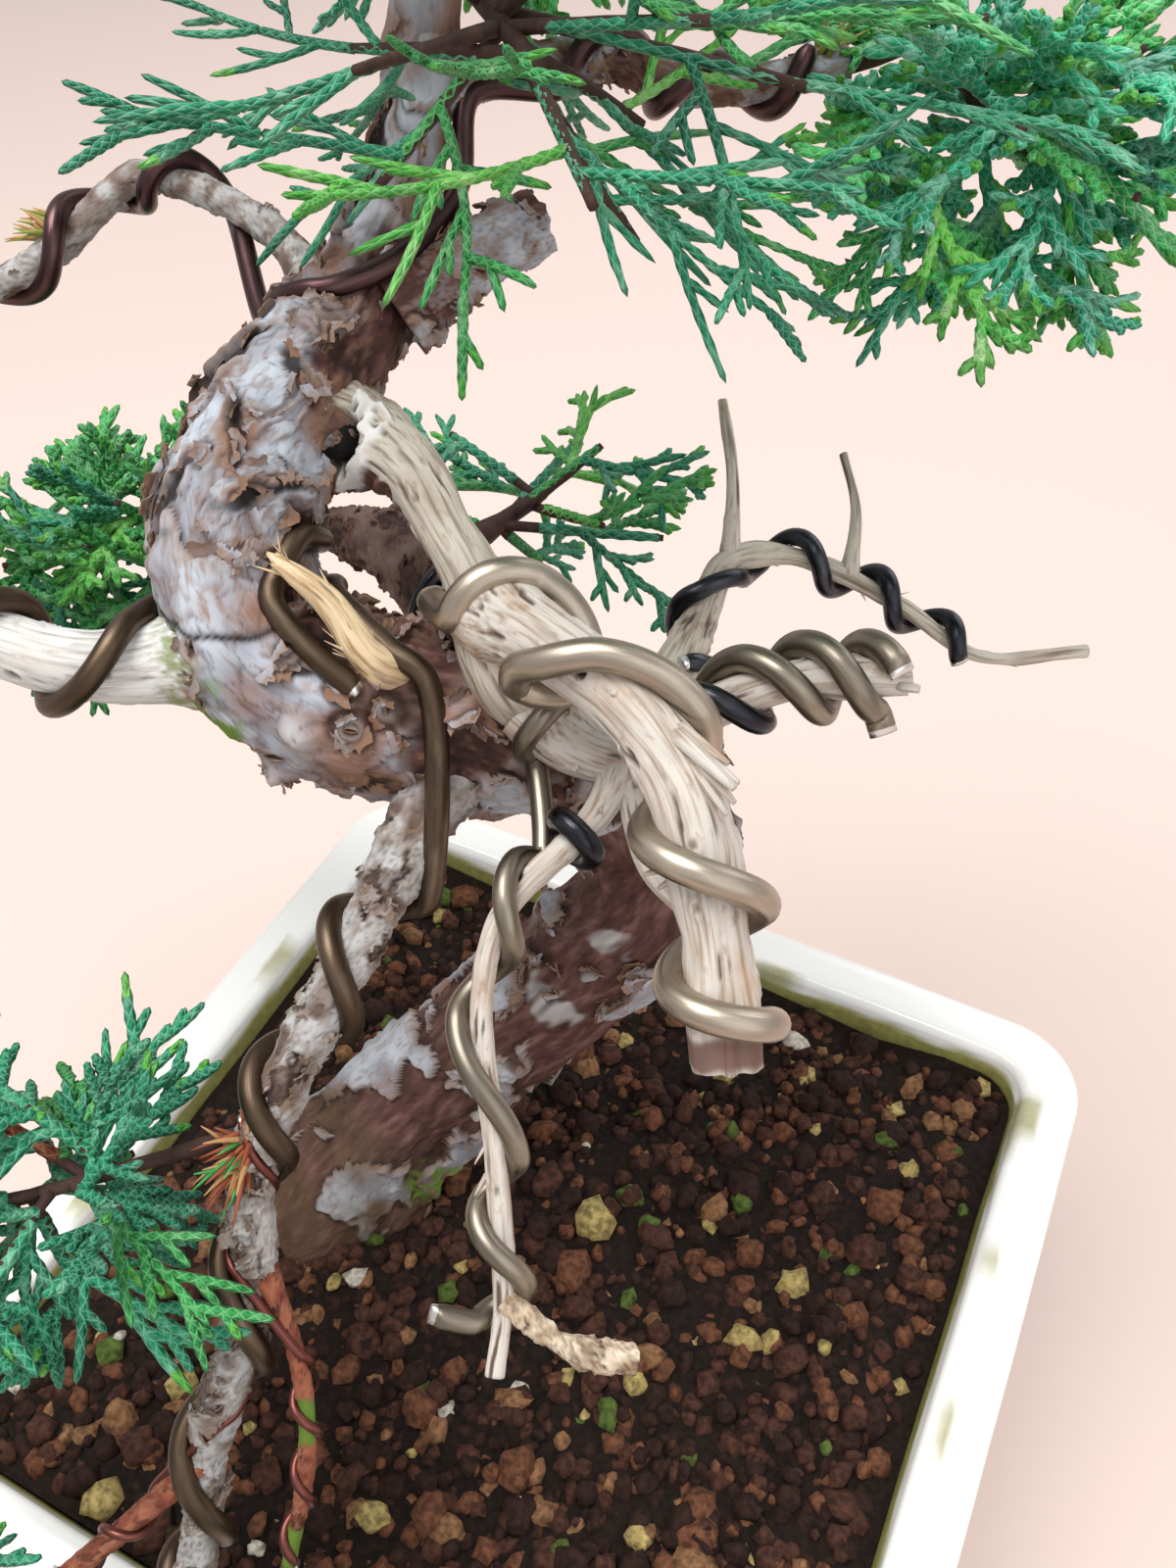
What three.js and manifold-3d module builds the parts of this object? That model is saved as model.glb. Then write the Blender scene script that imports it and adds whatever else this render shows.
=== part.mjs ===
// A wired juniper bonsai in a square white pot.
// Millimetres, +Z up. The origin is the middle of the pot's flat underside, and X and Y run along its sides.
// Each limb, wire and mass of foliage is a closed solid of its own, GAP clear of its neighbours.
import * as THREE from "three";
import { mergeVertices } from "three/addons/utils/BufferGeometryUtils.js";
import Module from "manifold-3d";

const wasm = await Module();
wasm.setup();
const { lerp, degToRad } = THREE.MathUtils;

// Driving dimensions of the pot
// DRAIN_OFFSET carries the drain hole from the middle, so that the middle of the underside is flat and whole.
const POT_WIDTH = 150;
const POT_FOOT_WIDTH = 128;
const POT_HEIGHT = 80;
const RIM_WIDTH = 9.5;
const POT_FLOOR = 9;
const CORNER_RADIUS = 14;
const INNER_CORNER_RADIUS = 7;
const LIP = 2;
const CORNER_STEPS = 5;
const DRAIN_RADIUS = 6;
const DRAIN_OFFSET = 26;
const DRAIN_SIDES = 12;
const SOIL_DEPTH_BELOW_RIM = 7;
const SOIL_TOP = POT_HEIGHT - SOIL_DEPTH_BELOW_RIM;
const SOIL_RELIEF = 2.4;
const SOIL_STEPS = 10;
const SOIL_SEED = 40;

// Driving dimensions of the limbs and wires
const GAP = 0.3;
const FLARE_HEIGHT = 9;
const FLARE_SHARE = 0.3;
const ROOT_LOBES = 5;
const LOBE_SHARE = 0.14;
const WIRE_SIDES = 5;
const WIRE_STEP = 45;
const ROOM_STEP = 2;
const WIRE_ROOM = 1;

// Driving dimensions of the foliage
const SPRAY_LENGTH = 17;
const SPRAY_WIDTH = 8;
const SPRAY_THICKNESS = 2;
const SPRAY_WIDEST = 0.45;
const TWIG_RADIUS = 0.9;
const TWIG_TAPER = 0.7;
const TWIG_SIDES = 3;
const SPRAYS_A_TWIG = 4;
const LIMB_CLEARANCE = 0.7;

// Shares of the growing rule. A twig starts between STEM_BARE and STEM_LEAFY of the way along its stem, and
// it ends at TWIG_REACH of the mass's reach. Its sprays start past TWIG_BARE of its length, lean out of its
// line by SPREAD_LEAST or more, and follow the twig and the way out of the mass by FOLLOW each.
const STEM_BEND = 0.4;
const STEM_BARE = 0.5;
const STEM_LEAFY = 0.98;
const TWIG_REACH = 0.6;
const TWIG_BARE = 0.5;
const TWIG_LEAFY = 0.8;
const TWIG_END = 0.96;
const FOLLOW = 0.35;
const SPREAD_LEAST = 0.7;
const SPREAD_MORE = 0.5;
const TIP_STEM_SHARE = 0.9;
const SIDE_STEM_SHARE = 0.45;
const SPACE_EDGE = 1.08;
const SPACE_MARGIN = 0.06;

// The front of the tree: angles round a limb are counted from this side of it.
const FRONT = new THREE.Vector3(0.31, -0.62, 0.72).normalize();
const FULL_TURN = 2 * Math.PI;
const GOLDEN_ANGLE = Math.PI * (3 - Math.sqrt(5));

// Materials
const material = (color, roughness, metalness = 0) => {
  return new THREE.MeshStandardMaterial({ color, roughness, metalness });
};
const BARK = material("#8d7b76", 0.9);
const DEAD_WOOD = material("#d9cbb4", 0.8);
const BRONZE_WIRE = material("#7a6650", 0.35, 0.9);
const BLACK_WIRE = material("#2e2c2e", 0.35, 0.9);
const FOLIAGE = material("#1f7a48", 0.7);
const GLAZE = material("#f3f6f5", 0.2);
const SOIL = material("#4a2c20", 1);

// A closed geometry becomes a solid that can be joined and cut. A solid becomes a geometry again.
const toSolid = (geometry) => {
  geometry.deleteAttribute("normal");
  geometry.deleteAttribute("uv");
  const merged = mergeVertices(geometry, 1e-4);
  const vertProperties = merged.attributes.position.array;
  const triVerts = new Uint32Array(merged.index.array);
  return new wasm.Manifold(new wasm.Mesh({ numProp: 3, vertProperties, triVerts }));
};

const toGeometry = (solid) => {
  const { vertProperties, triVerts } = solid.getMesh();
  const geometry = new THREE.BufferGeometry();
  geometry.setAttribute("position", new THREE.BufferAttribute(vertProperties, 3));
  geometry.setIndex(new THREE.BufferAttribute(triVerts, 1));
  geometry.computeVertexNormals();
  return geometry;
};

// The biggest piece of a cut solid: loose scraps and the walls of sealed hollows are left behind.
const mainPiece = (solid) => {
  const pieces = solid.decompose();
  return pieces.reduce((best, piece) => (piece.volume() > best.volume() ? piece : best));
};

// A skin over a row of rings with equal counts of points, closed with a fan at each end.
const skin = (rings) => {
  const count = rings[0].length;
  const middle = (ring) => ring.reduce((sum, p) => sum.add(p), new THREE.Vector3()).divideScalar(count);
  const points = [...rings.flat(), middle(rings[0]), middle(rings.at(-1))];
  const first = rings.length * count;
  const last = (rings.length - 1) * count;
  const faces = [];
  for (let i = 0; i < count; i++) {
    const next = (i + 1) % count;
    faces.push(first, next, i, first + 1, last + i, last + next);
    for (let row = 0; row < last; row += count) {
      const below = [row + i, row + next];
      const above = [row + count + i, row + count + next];
      faces.push(below[0], below[1], above[1], below[0], above[1], above[0]);
    }
  }
  const geometry = new THREE.BufferGeometry().setFromPoints(points);
  geometry.setIndex(faces);
  return toSolid(geometry);
};

// A round section carried along a curve. The radius is worked out from the share of the way along it,
// the middle of the section and the angle round that.
const sweep = (curve, steps, sides, radiusAt, endMargin = 0) => {
  const frames = curve.computeFrenetFrames(steps, false);
  const rings = [];
  for (let row = 0; row <= steps; row++) {
    const u = row / steps;
    const overhang = row === 0 ? -endMargin : row === steps ? endMargin : 0;
    const centre = curve.getPointAt(u).addScaledVector(frames.tangents[row], overhang);
    const ring = [];
    for (let i = 0; i < sides; i++) {
      const angle = (FULL_TURN * i) / sides;
      const radius = radiusAt(u, centre, angle);
      const out = frames.normals[row].clone().multiplyScalar(Math.cos(angle) * radius);
      ring.push(out.addScaledVector(frames.binormals[row], Math.sin(angle) * radius).add(centre));
    }
    rings.push(ring);
  }
  return skin(rings);
};

// A limb is a smooth bend through [x, y, z, radius] stations. Its radius changes evenly between them.
class Limb {
  constructor({ stations, sides = 8, rings, swell = () => 1 }) {
    const points = stations.map(([x, y, z]) => new THREE.Vector3(x, y, z));
    this.curve = new THREE.CatmullRomCurve3(points, false, "centripetal");
    this.radii = stations.map((station) => station[3]);
    this.sides = sides;
    this.rings = rings;
    this.swell = swell;
  }

  point(u) {
    return this.curve.getPointAt(u);
  }

  radius(u) {
    const t = this.curve.getUtoTmapping(u) * (this.radii.length - 1);
    const before = Math.min(Math.floor(t), this.radii.length - 2);
    return lerp(this.radii[before], this.radii[before + 1], t - before);
  }

  // A point at an angle round the limb, counted from its front, and at a distance from its surface.
  beside(u, angle, distance) {
    const along = this.curve.getTangentAt(u);
    const front = FRONT.clone().addScaledVector(along, -FRONT.dot(along)).normalize();
    const side = along.clone().cross(front);
    const out = front.multiplyScalar(Math.cos(angle)).addScaledVector(side, Math.sin(angle));
    return this.point(u).addScaledVector(out, this.radius(u) + distance);
  }

  // The limb's solid, grown by a margin all round for the room that its neighbours leave it.
  solid(margin = 0) {
    const radiusAt = (u, centre, angle) => this.radius(u) * this.swell(centre, angle) + margin;
    return sweep(this.curve, this.rings, this.sides, radiusAt, margin);
  }
}

// The foot of the trunk widens into lobes where the roots leave it.
const rootFlare = (centre, angle) => {
  const share = Math.exp(-Math.max(centre.z - SOIL_TOP, 0) / FLARE_HEIGHT);
  return 1 + share * (FLARE_SHARE + LOBE_SHARE * Math.cos(ROOT_LOBES * angle));
};

// The limbs, each with the limbs that it grows out of and is cut clear of.
const LIMBS = {
  trunk: {
    sides: 12,
    rings: 45,
    swell: rootFlare,
    stations: [
      [-38, -9, 63, 11.5],
      [-30, 4, 79, 11],
      [-17, 16, 99, 10.4],
      [-4, 23, 118, 10],
      [6, 28, 138, 10],
      [6, 29, 154, 10],
      [-2, 24, 167, 10],
      [-11, 14, 176, 10],
      [-22, 7, 181, 9.4],
      [-32, 5, 187, 8.6],
      [-38, 10, 195, 8.1],
      [-39, 19, 202, 8],
      [-37, 34, 210, 6],
      [-36, 46, 220, 4.3],
      [-37, 55, 234, 3.9],
      [-34, 55, 250, 2.6],
      [-30, 51, 262, 1.5],
    ],
  },
  dead_arch: {
    from: ["trunk"],
    rings: 12,
    stations: [
      [-38, 23, 203, 4.2],
      [-29.5, 26, 201, 3.6],
      [-22.5, 23, 201, 3.1],
      [-16, 19, 198, 3],
      [-10.5, 15.5, 194.5, 3.3],
      [-5, 12, 188, 4.6],
      [-3, 20, 172, 5],
    ],
  },
  front_jin: {
    from: ["dead_arch"],
    rings: 12,
    stations: [
      [-9, 14, 194, 3.6],
      [1, 10, 195, 3.6],
      [11, 7, 193.5, 3.6],
      [20, 2, 190, 3.5],
      [27, -5, 180, 3.5],
      [32, -12, 169, 3.3],
    ],
  },
  right_jin: {
    from: ["dead_arch"],
    rings: 12,
    stations: [
      [-4, 13, 184, 3],
      [4, 11.5, 180, 3],
      [10, 13.5, 179, 2.8],
      [16, 21, 183, 2.5],
      [23, 27, 185, 2.4],
      [34, 33, 185, 2.3],
    ],
  },
  hanging_jin: {
    from: ["right_jin"],
    sides: 6,
    rings: 16,
    stations: [
      [9, 13, 179, 1.5],
      [9, 6, 177, 1.5],
      [4, -7, 171, 1.4],
      [5, -14, 164, 1.4],
      [11, -23, 154, 1.3],
      [17, -33, 142, 1.2],
      [19, -39, 137, 1],
    ],
  },
  hanging_spur: {
    from: ["right_jin", "hanging_jin"],
    sides: 6,
    rings: 5,
    stations: [
      [10, 11, 178.5, 1.2],
      [16, 4, 173.5, 1.1],
      [21, 3, 170, 0.9],
    ],
  },
  barked_twig: {
    from: ["hanging_jin"],
    sides: 6,
    rings: 6,
    stations: [
      [17, -33, 142, 0.8],
      [24, -33.5, 139, 0.8],
      [27, -33, 138.4, 1.5],
      [32, -31, 137.5, 1.2],
    ],
  },
  left_jin: {
    from: ["trunk"],
    rings: 9,
    stations: [
      [-34, 5, 185, 4.4],
      [-46, -7, 187, 3.8],
      [-56, -11, 190, 3.5],
      [-67, -15.5, 194, 3.3],
      [-77, -19, 197, 3.1],
    ],
  },
  torn_stub: {
    from: ["trunk"],
    sides: 6,
    rings: 7,
    stations: [
      [-15, 12, 181, 1.9],
      [-17.5, 4.5, 190, 1.7],
      [-21.5, 4.5, 196, 1.6],
      [-27.5, 3.5, 201, 0.9],
    ],
  },
  rear_jin: {
    from: ["trunk"],
    sides: 6,
    rings: 17,
    stations: [
      [4, 29, 160, 3.4],
      [4, 38, 168, 3.2],
      [3.5, 48, 171, 2.4],
      [4, 57, 175, 1.7],
      [11, 61.5, 175.4, 1.5],
      [26, 63.6, 171, 1.3],
      [38, 64, 166, 1.1],
      [51, 71, 166.4, 0.7],
    ],
  },
  rear_twig_left: {
    from: ["rear_jin"],
    sides: 6,
    rings: 4,
    stations: [
      [4, 57, 175, 1],
      [0.5, 65, 183, 0.9],
      [-4, 71, 190, 0.7],
    ],
  },
  rear_twig_right: {
    from: ["rear_jin"],
    sides: 6,
    rings: 4,
    stations: [
      [19, 63, 173.6, 1],
      [17, 69, 180, 0.8],
      [13, 73.5, 185, 0.6],
    ],
  },
  low_bough: {
    from: ["trunk"],
    sides: 7,
    rings: 20,
    stations: [
      [-11, 9, 175, 3.2],
      [-10.5, -7, 168.5, 2.7],
      [-12, -20, 160.5, 2.5],
      [-14, -33, 148.5, 2.2],
      [-10.5, -43, 135, 2.1],
      [-11, -54, 120, 2],
      [-9.5, -64, 105, 1.8],
      [-9, -70, 98, 1.6],
    ],
  },
  low_twig_right: {
    from: ["low_bough"],
    sides: 6,
    rings: 7,
    stations: [
      [-10.5, -40, 139, 1],
      [-3, -45.5, 130.5, 0.9],
      [0.5, -51, 122, 0.9],
      [2, -60, 110, 0.8],
    ],
  },
  low_twig_left: {
    from: ["low_bough"],
    sides: 6,
    rings: 5,
    stations: [
      [-11, -56, 117, 1.3],
      [-16, -65, 113, 1.2],
      [-21, -73, 109, 1.1],
    ],
  },
  left_bough: {
    from: ["trunk"],
    rings: 14,
    stations: [
      [-37, 33, 210, 2.2],
      [-48, 39.5, 215, 1.7],
      [-58, 41, 218, 1.6],
      [-68, 39, 219.5, 1.5],
      [-75, 29, 213, 1.5],
      [-88, 15.5, 206, 1.4],
      [-94, 10, 203, 1.2],
    ],
  },
  fork_stub: {
    from: ["trunk", "left_bough"],
    rings: 6,
    stations: [
      [-37, 33, 208, 4],
      [-30, 42, 213.5, 3.9],
      [-25, 47.5, 216.5, 3.5],
      [-20.5, 52, 218.5, 3.2],
    ],
  },
  right_bough: {
    from: ["trunk"],
    rings: 12,
    stations: [
      [-37, 53, 229, 2.3],
      [-30, 62, 230, 2.1],
      [-22, 67, 231, 2],
      [-10, 68, 229.5, 1.9],
      [-2, 72, 230, 1.8],
      [6, 76, 232, 1.6],
    ],
  },
  rear_bough: {
    from: ["trunk"],
    rings: 12,
    stations: [
      [-4, 22, 168, 4.4],
      [-13, 26, 170, 5.6],
      [-28, 38.5, 169.5, 6.2],
      [-45, 47.5, 168, 5],
      [-59, 50.5, 165, 2.4],
    ],
  },
};

const limbs = Object.fromEntries(Object.entries(LIMBS).map(([name, plan]) => [name, new Limb(plan)]));

// A wire is laid round the limbs by a route. Its stations are [limb, share of the way along it, degrees round
// it, how far off it]. It winds evenly between stations on one limb, and bends smoothly from limb to limb.
const WIRES = {
  front_jin_wire: {
    radius: 1.7,
    finish: BRONZE_WIRE,
    route: [
      ["dead_arch", 0.52, 130],
      ["dead_arch", 0.54, 80],
      ["front_jin", 0.03, 40],
      ["front_jin", 0.06, -20],
      ["front_jin", 0.1, -80],
      ["front_jin", 0.26, -180],
      ["front_jin", 0.18, -265],
      ["front_jin", 0.2, -310],
      ["front_jin", 0.3, -375],
      ["front_jin", 0.45, -445],
      ["front_jin", 0.6, -630],
      ["front_jin", 0.75, -810],
      ["front_jin", 0.86, -990],
      ["front_jin", 0.94, -1170],
      ["front_jin", 0.97, -1240],
    ],
  },
  right_jin_wire: {
    radius: 1.6,
    finish: BRONZE_WIRE,
    route: [
      ["right_jin", 0.53, 200],
      ["right_jin", 0.62, 270],
      ["right_jin", 0.8, 450],
      ["right_jin", 0.9, 630],
      ["right_jin", 0.97, 720],
    ],
  },
  right_jin_wire_end: {
    radius: 1.6,
    finish: BRONZE_WIRE,
    route: [
      ["right_jin", 0.71, 200],
      ["right_jin", 0.76, 270],
      ["right_jin", 0.93, 450],
      ["right_jin", 0.95, 455, 2.5],
    ],
  },
  black_jin_wire: {
    radius: 1.35,
    finish: BLACK_WIRE,
    route: [
      ["hanging_jin", 0.15, 150],
      ["hanging_jin", 0.15, -60],
      ["hanging_jin", 0.17, -190],
      ["right_jin", 0.36, 150],
      ["right_jin", 0.47, 270],
      ["right_jin", 0.64, 450],
      ["right_jin", 0.66, 480],
    ],
  },
  hanging_jin_wire: {
    radius: 1.3,
    finish: BRONZE_WIRE,
    route: [
      ["right_jin", 0.08, -100],
      ["right_jin", 0.1, 60],
      ["right_jin", 0.12, 120],
      ["hanging_jin", 0.21, 165],
      ["hanging_jin", 0.24, 90],
      ["hanging_jin", 0.36, -90],
      ["hanging_jin", 0.47, -270],
      ["hanging_jin", 0.68, -450],
      ["hanging_jin", 0.76, -630],
      ["hanging_jin", 0.87, -810],
      ["hanging_jin", 0.93, -970, 0.5],
      ["hanging_jin", 0.92, -990, 5.5],
    ],
  },
  low_bough_wire: {
    radius: 1.4,
    finish: BRONZE_WIRE,
    route: [
      ["left_jin", 0.94, -720],
      ["left_jin", 0.72, -450],
      ["left_jin", 0.52, -270],
      ["left_jin", 0.4, -90],
      ["left_jin", 0.25, 60],
      ["trunk", 0.655, -140],
      ["trunk", 0.635, -250],
      ["trunk", 0.613, -296],
      ["trunk", 0.56, -345],
      ["trunk", 0.542, -417, 0.4],
      ["low_bough", 0.15, -110, 0.9],
      ["low_bough", 0.2, -270],
      ["low_bough", 0.29, -450],
      ["low_bough", 0.36, -630],
      ["low_bough", 0.44, -810],
      ["low_bough", 0.55, -990],
      ["low_bough", 0.66, -1170],
      ["low_bough", 0.765, -1350],
      ["low_bough", 0.88, -1530],
      ["low_bough", 0.92, -1710],
      ["low_bough", 0.97, -1850],
    ],
  },
  trunk_wire_end: {
    radius: 1.4,
    finish: BRONZE_WIRE,
    route: [
      ["trunk", 0.584, 2],
      ["trunk", 0.602, 12],
      ["trunk", 0.635, 25],
      ["trunk", 0.665, 60],
      ["trunk", 0.675, 110],
    ],
  },
  crown_wire: {
    radius: 1.25,
    finish: BRONZE_WIRE,
    route: [
      ["left_bough", 0.93, -810],
      ["left_bough", 0.8, -630],
      ["left_bough", 0.66, -450],
      ["left_bough", 0.55, -270, 0.2],
      ["left_bough", 0.44, -90, 0.3],
      ["left_bough", 0.37, 90],
      ["left_bough", 0.26, 240],
      ["trunk", 0.755, -90],
      ["trunk", 0.775, -10],
      ["fork_stub", 0.38, -20, 0.8],
      ["trunk", 0.84, 85, 1],
      ["trunk", 0.875, 95, 1],
      ["right_bough", 0.33, 80, 0.5],
      ["right_bough", 0.5, -90],
      ["right_bough", 0.6, -270],
      ["right_bough", 0.72, -450],
      ["right_bough", 0.84, -630],
      ["right_bough", 0.92, -750],
    ],
  },
  rear_jin_wire: {
    radius: 1.25,
    finish: BLACK_WIRE,
    route: [
      ["rear_jin", 0.16, 0],
      ["rear_jin", 0.3, 330],
      ["rear_jin", 0.44, 520],
      ["rear_jin", 0.54, 760],
      ["rear_jin", 0.8, 1500],
    ],
  },
  rear_bough_wire: {
    radius: 1.25,
    finish: BLACK_WIRE,
    route: [
      ["rear_bough", 0.26, 0],
      ["rear_bough", 0.5, 470],
    ],
  },
};

// The points of a wire. Straight chords between them would cut into the limb, so they lie further out.
const wirePoints = ({ radius, route }) => {
  const points = [];
  const laid = (name, share, degrees, off) => {
    const limbRadius = limbs[name].radius(share);
    const ringRadius = (limbRadius + radius + GAP + off) / Math.cos(degToRad(WIRE_STEP / 2));
    return limbs[name].beside(share, degToRad(degrees), ringRadius - limbRadius);
  };
  route.forEach(([name, share, degrees, off = 0], i) => {
    points.push(laid(name, share, degrees, off));
    const [nextName, nextShare, nextDegrees, nextOff = 0] = route[i + 1] ?? [];
    if (nextName !== name) {
      return;
    }
    const steps = Math.ceil(Math.abs(nextDegrees - degrees) / WIRE_STEP);
    for (let step = 1; step < steps; step++) {
      const mix = (from, to) => lerp(from, to, step / steps);
      points.push(laid(name, mix(share, nextShare), mix(degrees, nextDegrees), mix(off, nextOff)));
    }
  });
  return points;
};

// A mass of foliage keeps to its own space, an oval round its heart. Its stem grows from a place on a limb.
const MASSES = {
  crown_front: { root: ["trunk", 0.93], heart: [-9, 30, 242], reach: [42, 26, 24], twigs: 11 },
  crown_top: { root: ["trunk", 1], heart: [-26, 46, 281], reach: [35, 32, 21], twigs: 12 },
  crown_back: { root: ["trunk", 0.95], heart: [-44, 86, 246], reach: [35, 29, 22], twigs: 11 },
  crown_right: { root: ["right_bough", 1], heart: [26, 72, 228], reach: [28, 24, 23], twigs: 12 },
  crown_left: { root: ["left_bough", 1], heart: [-107, -4, 204], reach: [24, 23, 15], twigs: 7 },
  rear_left: { root: ["rear_bough", 1], heart: [-85, 32, 166], reach: [28, 30, 20], twigs: 9 },
  rear_right: { root: ["rear_bough", 0.62], heart: [-29, 66, 171], reach: [34, 21, 15], twigs: 8 },
  low_left: { root: ["low_bough", 0.42], heart: [-34, -49, 148], reach: [24, 22, 17], twigs: 8 },
  low_front: { root: ["low_bough", 1], heart: [-6, -90, 100], reach: [25, 20, 15], twigs: 7 },
  low_right: { root: ["low_twig_right", 1], heart: [19, -73, 107], reach: [19, 18, 14], twigs: 5 },
  low_corner: { root: ["low_twig_left", 1], heart: [-43, -88, 111], reach: [22, 18, 14], twigs: 5 },
};

// A seeded number from 0 to 1, the same on every run.
const chance = (seed, index) => {
  const wave = Math.sin(seed * 127.1 + index * 311.7) * 43758.5453;
  return wave - Math.floor(wave);
};

// How far out of a mass's space a point lies: 0 at its heart and 1 at its edge.
const depthIn = ({ heart, reach }, point) => {
  const [x, y, z] = heart;
  const away = new THREE.Vector3(point.x - x, point.y - y, point.z - z);
  return away.divide(new THREE.Vector3(...reach)).length();
};

// Round every limb and wire there are balls of room that no spray or twig enters.
const limbRoom = [];
for (const limb of Object.values(limbs)) {
  const balls = Math.ceil(limb.curve.getLength() / ROOM_STEP);
  for (let i = 0; i <= balls; i++) {
    limbRoom.push([limb.point(i / balls), limb.radius(i / balls)]);
  }
}
const wireCurves = {};
for (const [name, wire] of Object.entries(WIRES)) {
  const points = wirePoints(wire);
  wireCurves[name] = new THREE.CatmullRomCurve3(points, false, "centripetal");
  points.forEach((point) => limbRoom.push([point, wire.radius + WIRE_ROOM]));
}

// Whether a shoot through these places stays in its mass's space, nearer its heart than any other mass's, and
// clear of the limbs and wires.
const hasRoom = (mass, places, thickness) => {
  const others = Object.values(MASSES).filter((other) => other !== mass);
  return places.every((point) => {
    const depth = depthIn(mass, point);
    const nearest = others.every((other) => depthIn(other, point) >= depth + SPACE_MARGIN);
    const clear = ([ball, radius]) => ball.distanceTo(point) >= radius + thickness + LIMB_CLEARANCE;
    return depth <= SPACE_EDGE && nearest && limbRoom.every(clear);
  });
};

// The corners of a spray of shoots, a slim rhombic blade: its root, four round its widest place, and its tip.
const sprayCorners = (from, to, facing) => {
  const along = to.clone().sub(from).normalize();
  const side = along.clone().cross(facing).normalize();
  const up = side.clone().cross(along);
  const middle = from.clone().lerp(to, SPRAY_WIDEST);
  return [
    from,
    middle.clone().addScaledVector(side, SPRAY_WIDTH / 2),
    middle.clone().addScaledVector(up, SPRAY_THICKNESS / 2),
    middle.clone().addScaledVector(side, -SPRAY_WIDTH / 2),
    middle.clone().addScaledVector(up, -SPRAY_THICKNESS / 2),
    to,
  ];
};

const spray = (corners) => {
  const geometry = new THREE.BufferGeometry().setFromPoints(corners);
  geometry.setIndex([0, 1, 2, 0, 2, 3, 0, 3, 4, 0, 4, 1, 5, 2, 1, 5, 3, 2, 5, 4, 3, 5, 1, 4]);
  return toSolid(geometry);
};

const twig = (curve, fromRadius, toRadius) => {
  const radiusAt = (u) => lerp(fromRadius, toRadius, u);
  return sweep(curve, curve.points.length - 1, TWIG_SIDES, radiusAt);
};

// The stem of a mass carries on from the tip of its limb, or leaves its side, and bends to the mass's heart.
const massStem = (mass) => {
  const [limbName, share] = mass.root;
  const limb = limbs[limbName];
  const atTip = share === 1;
  const root = limb.point(share);
  const heart = new THREE.Vector3(...mass.heart);
  const away = atTip ? limb.curve.getTangentAt(1) : heart.clone().sub(root).normalize();
  const bend = root.clone().addScaledVector(away, heart.distanceTo(root) * STEM_BEND);
  const curve = new THREE.CatmullRomCurve3([root, bend, heart], false, "centripetal");
  const radius = Math.max(limb.radius(share) * (atTip ? TIP_STEM_SHARE : SIDE_STEM_SHARE), TWIG_RADIUS);
  return { limb, heart, curve, radius };
};

// The growing rule: twigs leave the stem for places spread evenly through the mass's space, and sprays stand
// out all round each twig, with one at its end.
const growMass = (mass, seed) => {
  const { limb, heart, curve: stem, radius: stemRadius } = massStem(mass);
  const reach = new THREE.Vector3(...mass.reach);
  const pieces = [twig(stem, stemRadius, TWIG_RADIUS)];

  for (let i = 0; i < mass.twigs; i++) {
    const height = 1 - (2 * i + 1) / mass.twigs;
    const round = i * GOLDEN_ANGLE + seed;
    const ring = Math.sqrt(1 - height * height);
    const out = new THREE.Vector3(ring * Math.cos(round), ring * Math.sin(round), height);
    const start = stem.getPointAt(lerp(STEM_BARE, STEM_LEAFY, chance(seed, i)));
    const end = out.clone().multiply(reach).multiplyScalar(TWIG_REACH).add(heart);
    if (!hasRoom(mass, [start.clone().lerp(end, 0.5), end], TWIG_RADIUS)) {
      continue;
    }
    const line = new THREE.CatmullRomCurve3([start, end]);
    pieces.push(twig(line, TWIG_RADIUS, TWIG_RADIUS * TWIG_TAPER));

    const along = end.clone().sub(start).normalize();
    const across = along.clone().cross(new THREE.Vector3(0, 0, 1)).normalize();
    const above = across.clone().cross(along);
    for (let k = 0; k < SPRAYS_A_TWIG; k++) {
      const last = k === SPRAYS_A_TWIG - 1;
      const turn = k * GOLDEN_ANGLE + FULL_TURN * chance(seed + 1, i);
      const spread = last ? 0 : SPREAD_LEAST + SPREAD_MORE * chance(seed + 2, SPRAYS_A_TWIG * i + k);
      const aim = along.clone().add(out).multiplyScalar(FOLLOW);
      aim.addScaledVector(across, spread * Math.cos(turn));
      aim.addScaledVector(above, spread * Math.sin(turn));
      aim.multiply(reach).normalize();
      const way = lerp(TWIG_BARE, TWIG_LEAFY, k / (SPRAYS_A_TWIG - 2));
      const from = start.clone().lerp(end, last ? TWIG_END : way);
      const corners = sprayCorners(from, from.clone().addScaledVector(aim, SPRAY_LENGTH), above);
      if (hasRoom(mass, corners.slice(1), SPRAY_THICKNESS / 2)) {
        pieces.push(spray(corners));
      }
    }
  }
  return mainPiece(wasm.Manifold.union(pieces).subtract(limb.solid(GAP)));
};

// The pot is a square with round corners at every level, wider at its rim than at its foot.
const squareRing = (width, radius, z) => {
  const ring = [];
  for (let corner = 0; corner < 4; corner++) {
    for (let step = 0; step <= CORNER_STEPS; step++) {
      const angle = (FULL_TURN * (corner + step / CORNER_STEPS)) / 4;
      const middle = width / 2 - radius;
      const cornerAngle = (FULL_TURN * (corner + 0.5)) / 4;
      const x = Math.sign(Math.cos(cornerAngle)) * middle + radius * Math.cos(angle);
      const y = Math.sign(Math.sin(cornerAngle)) * middle + radius * Math.sin(angle);
      ring.push(new THREE.Vector3(x, y, z));
    }
  }
  return ring;
};

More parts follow.
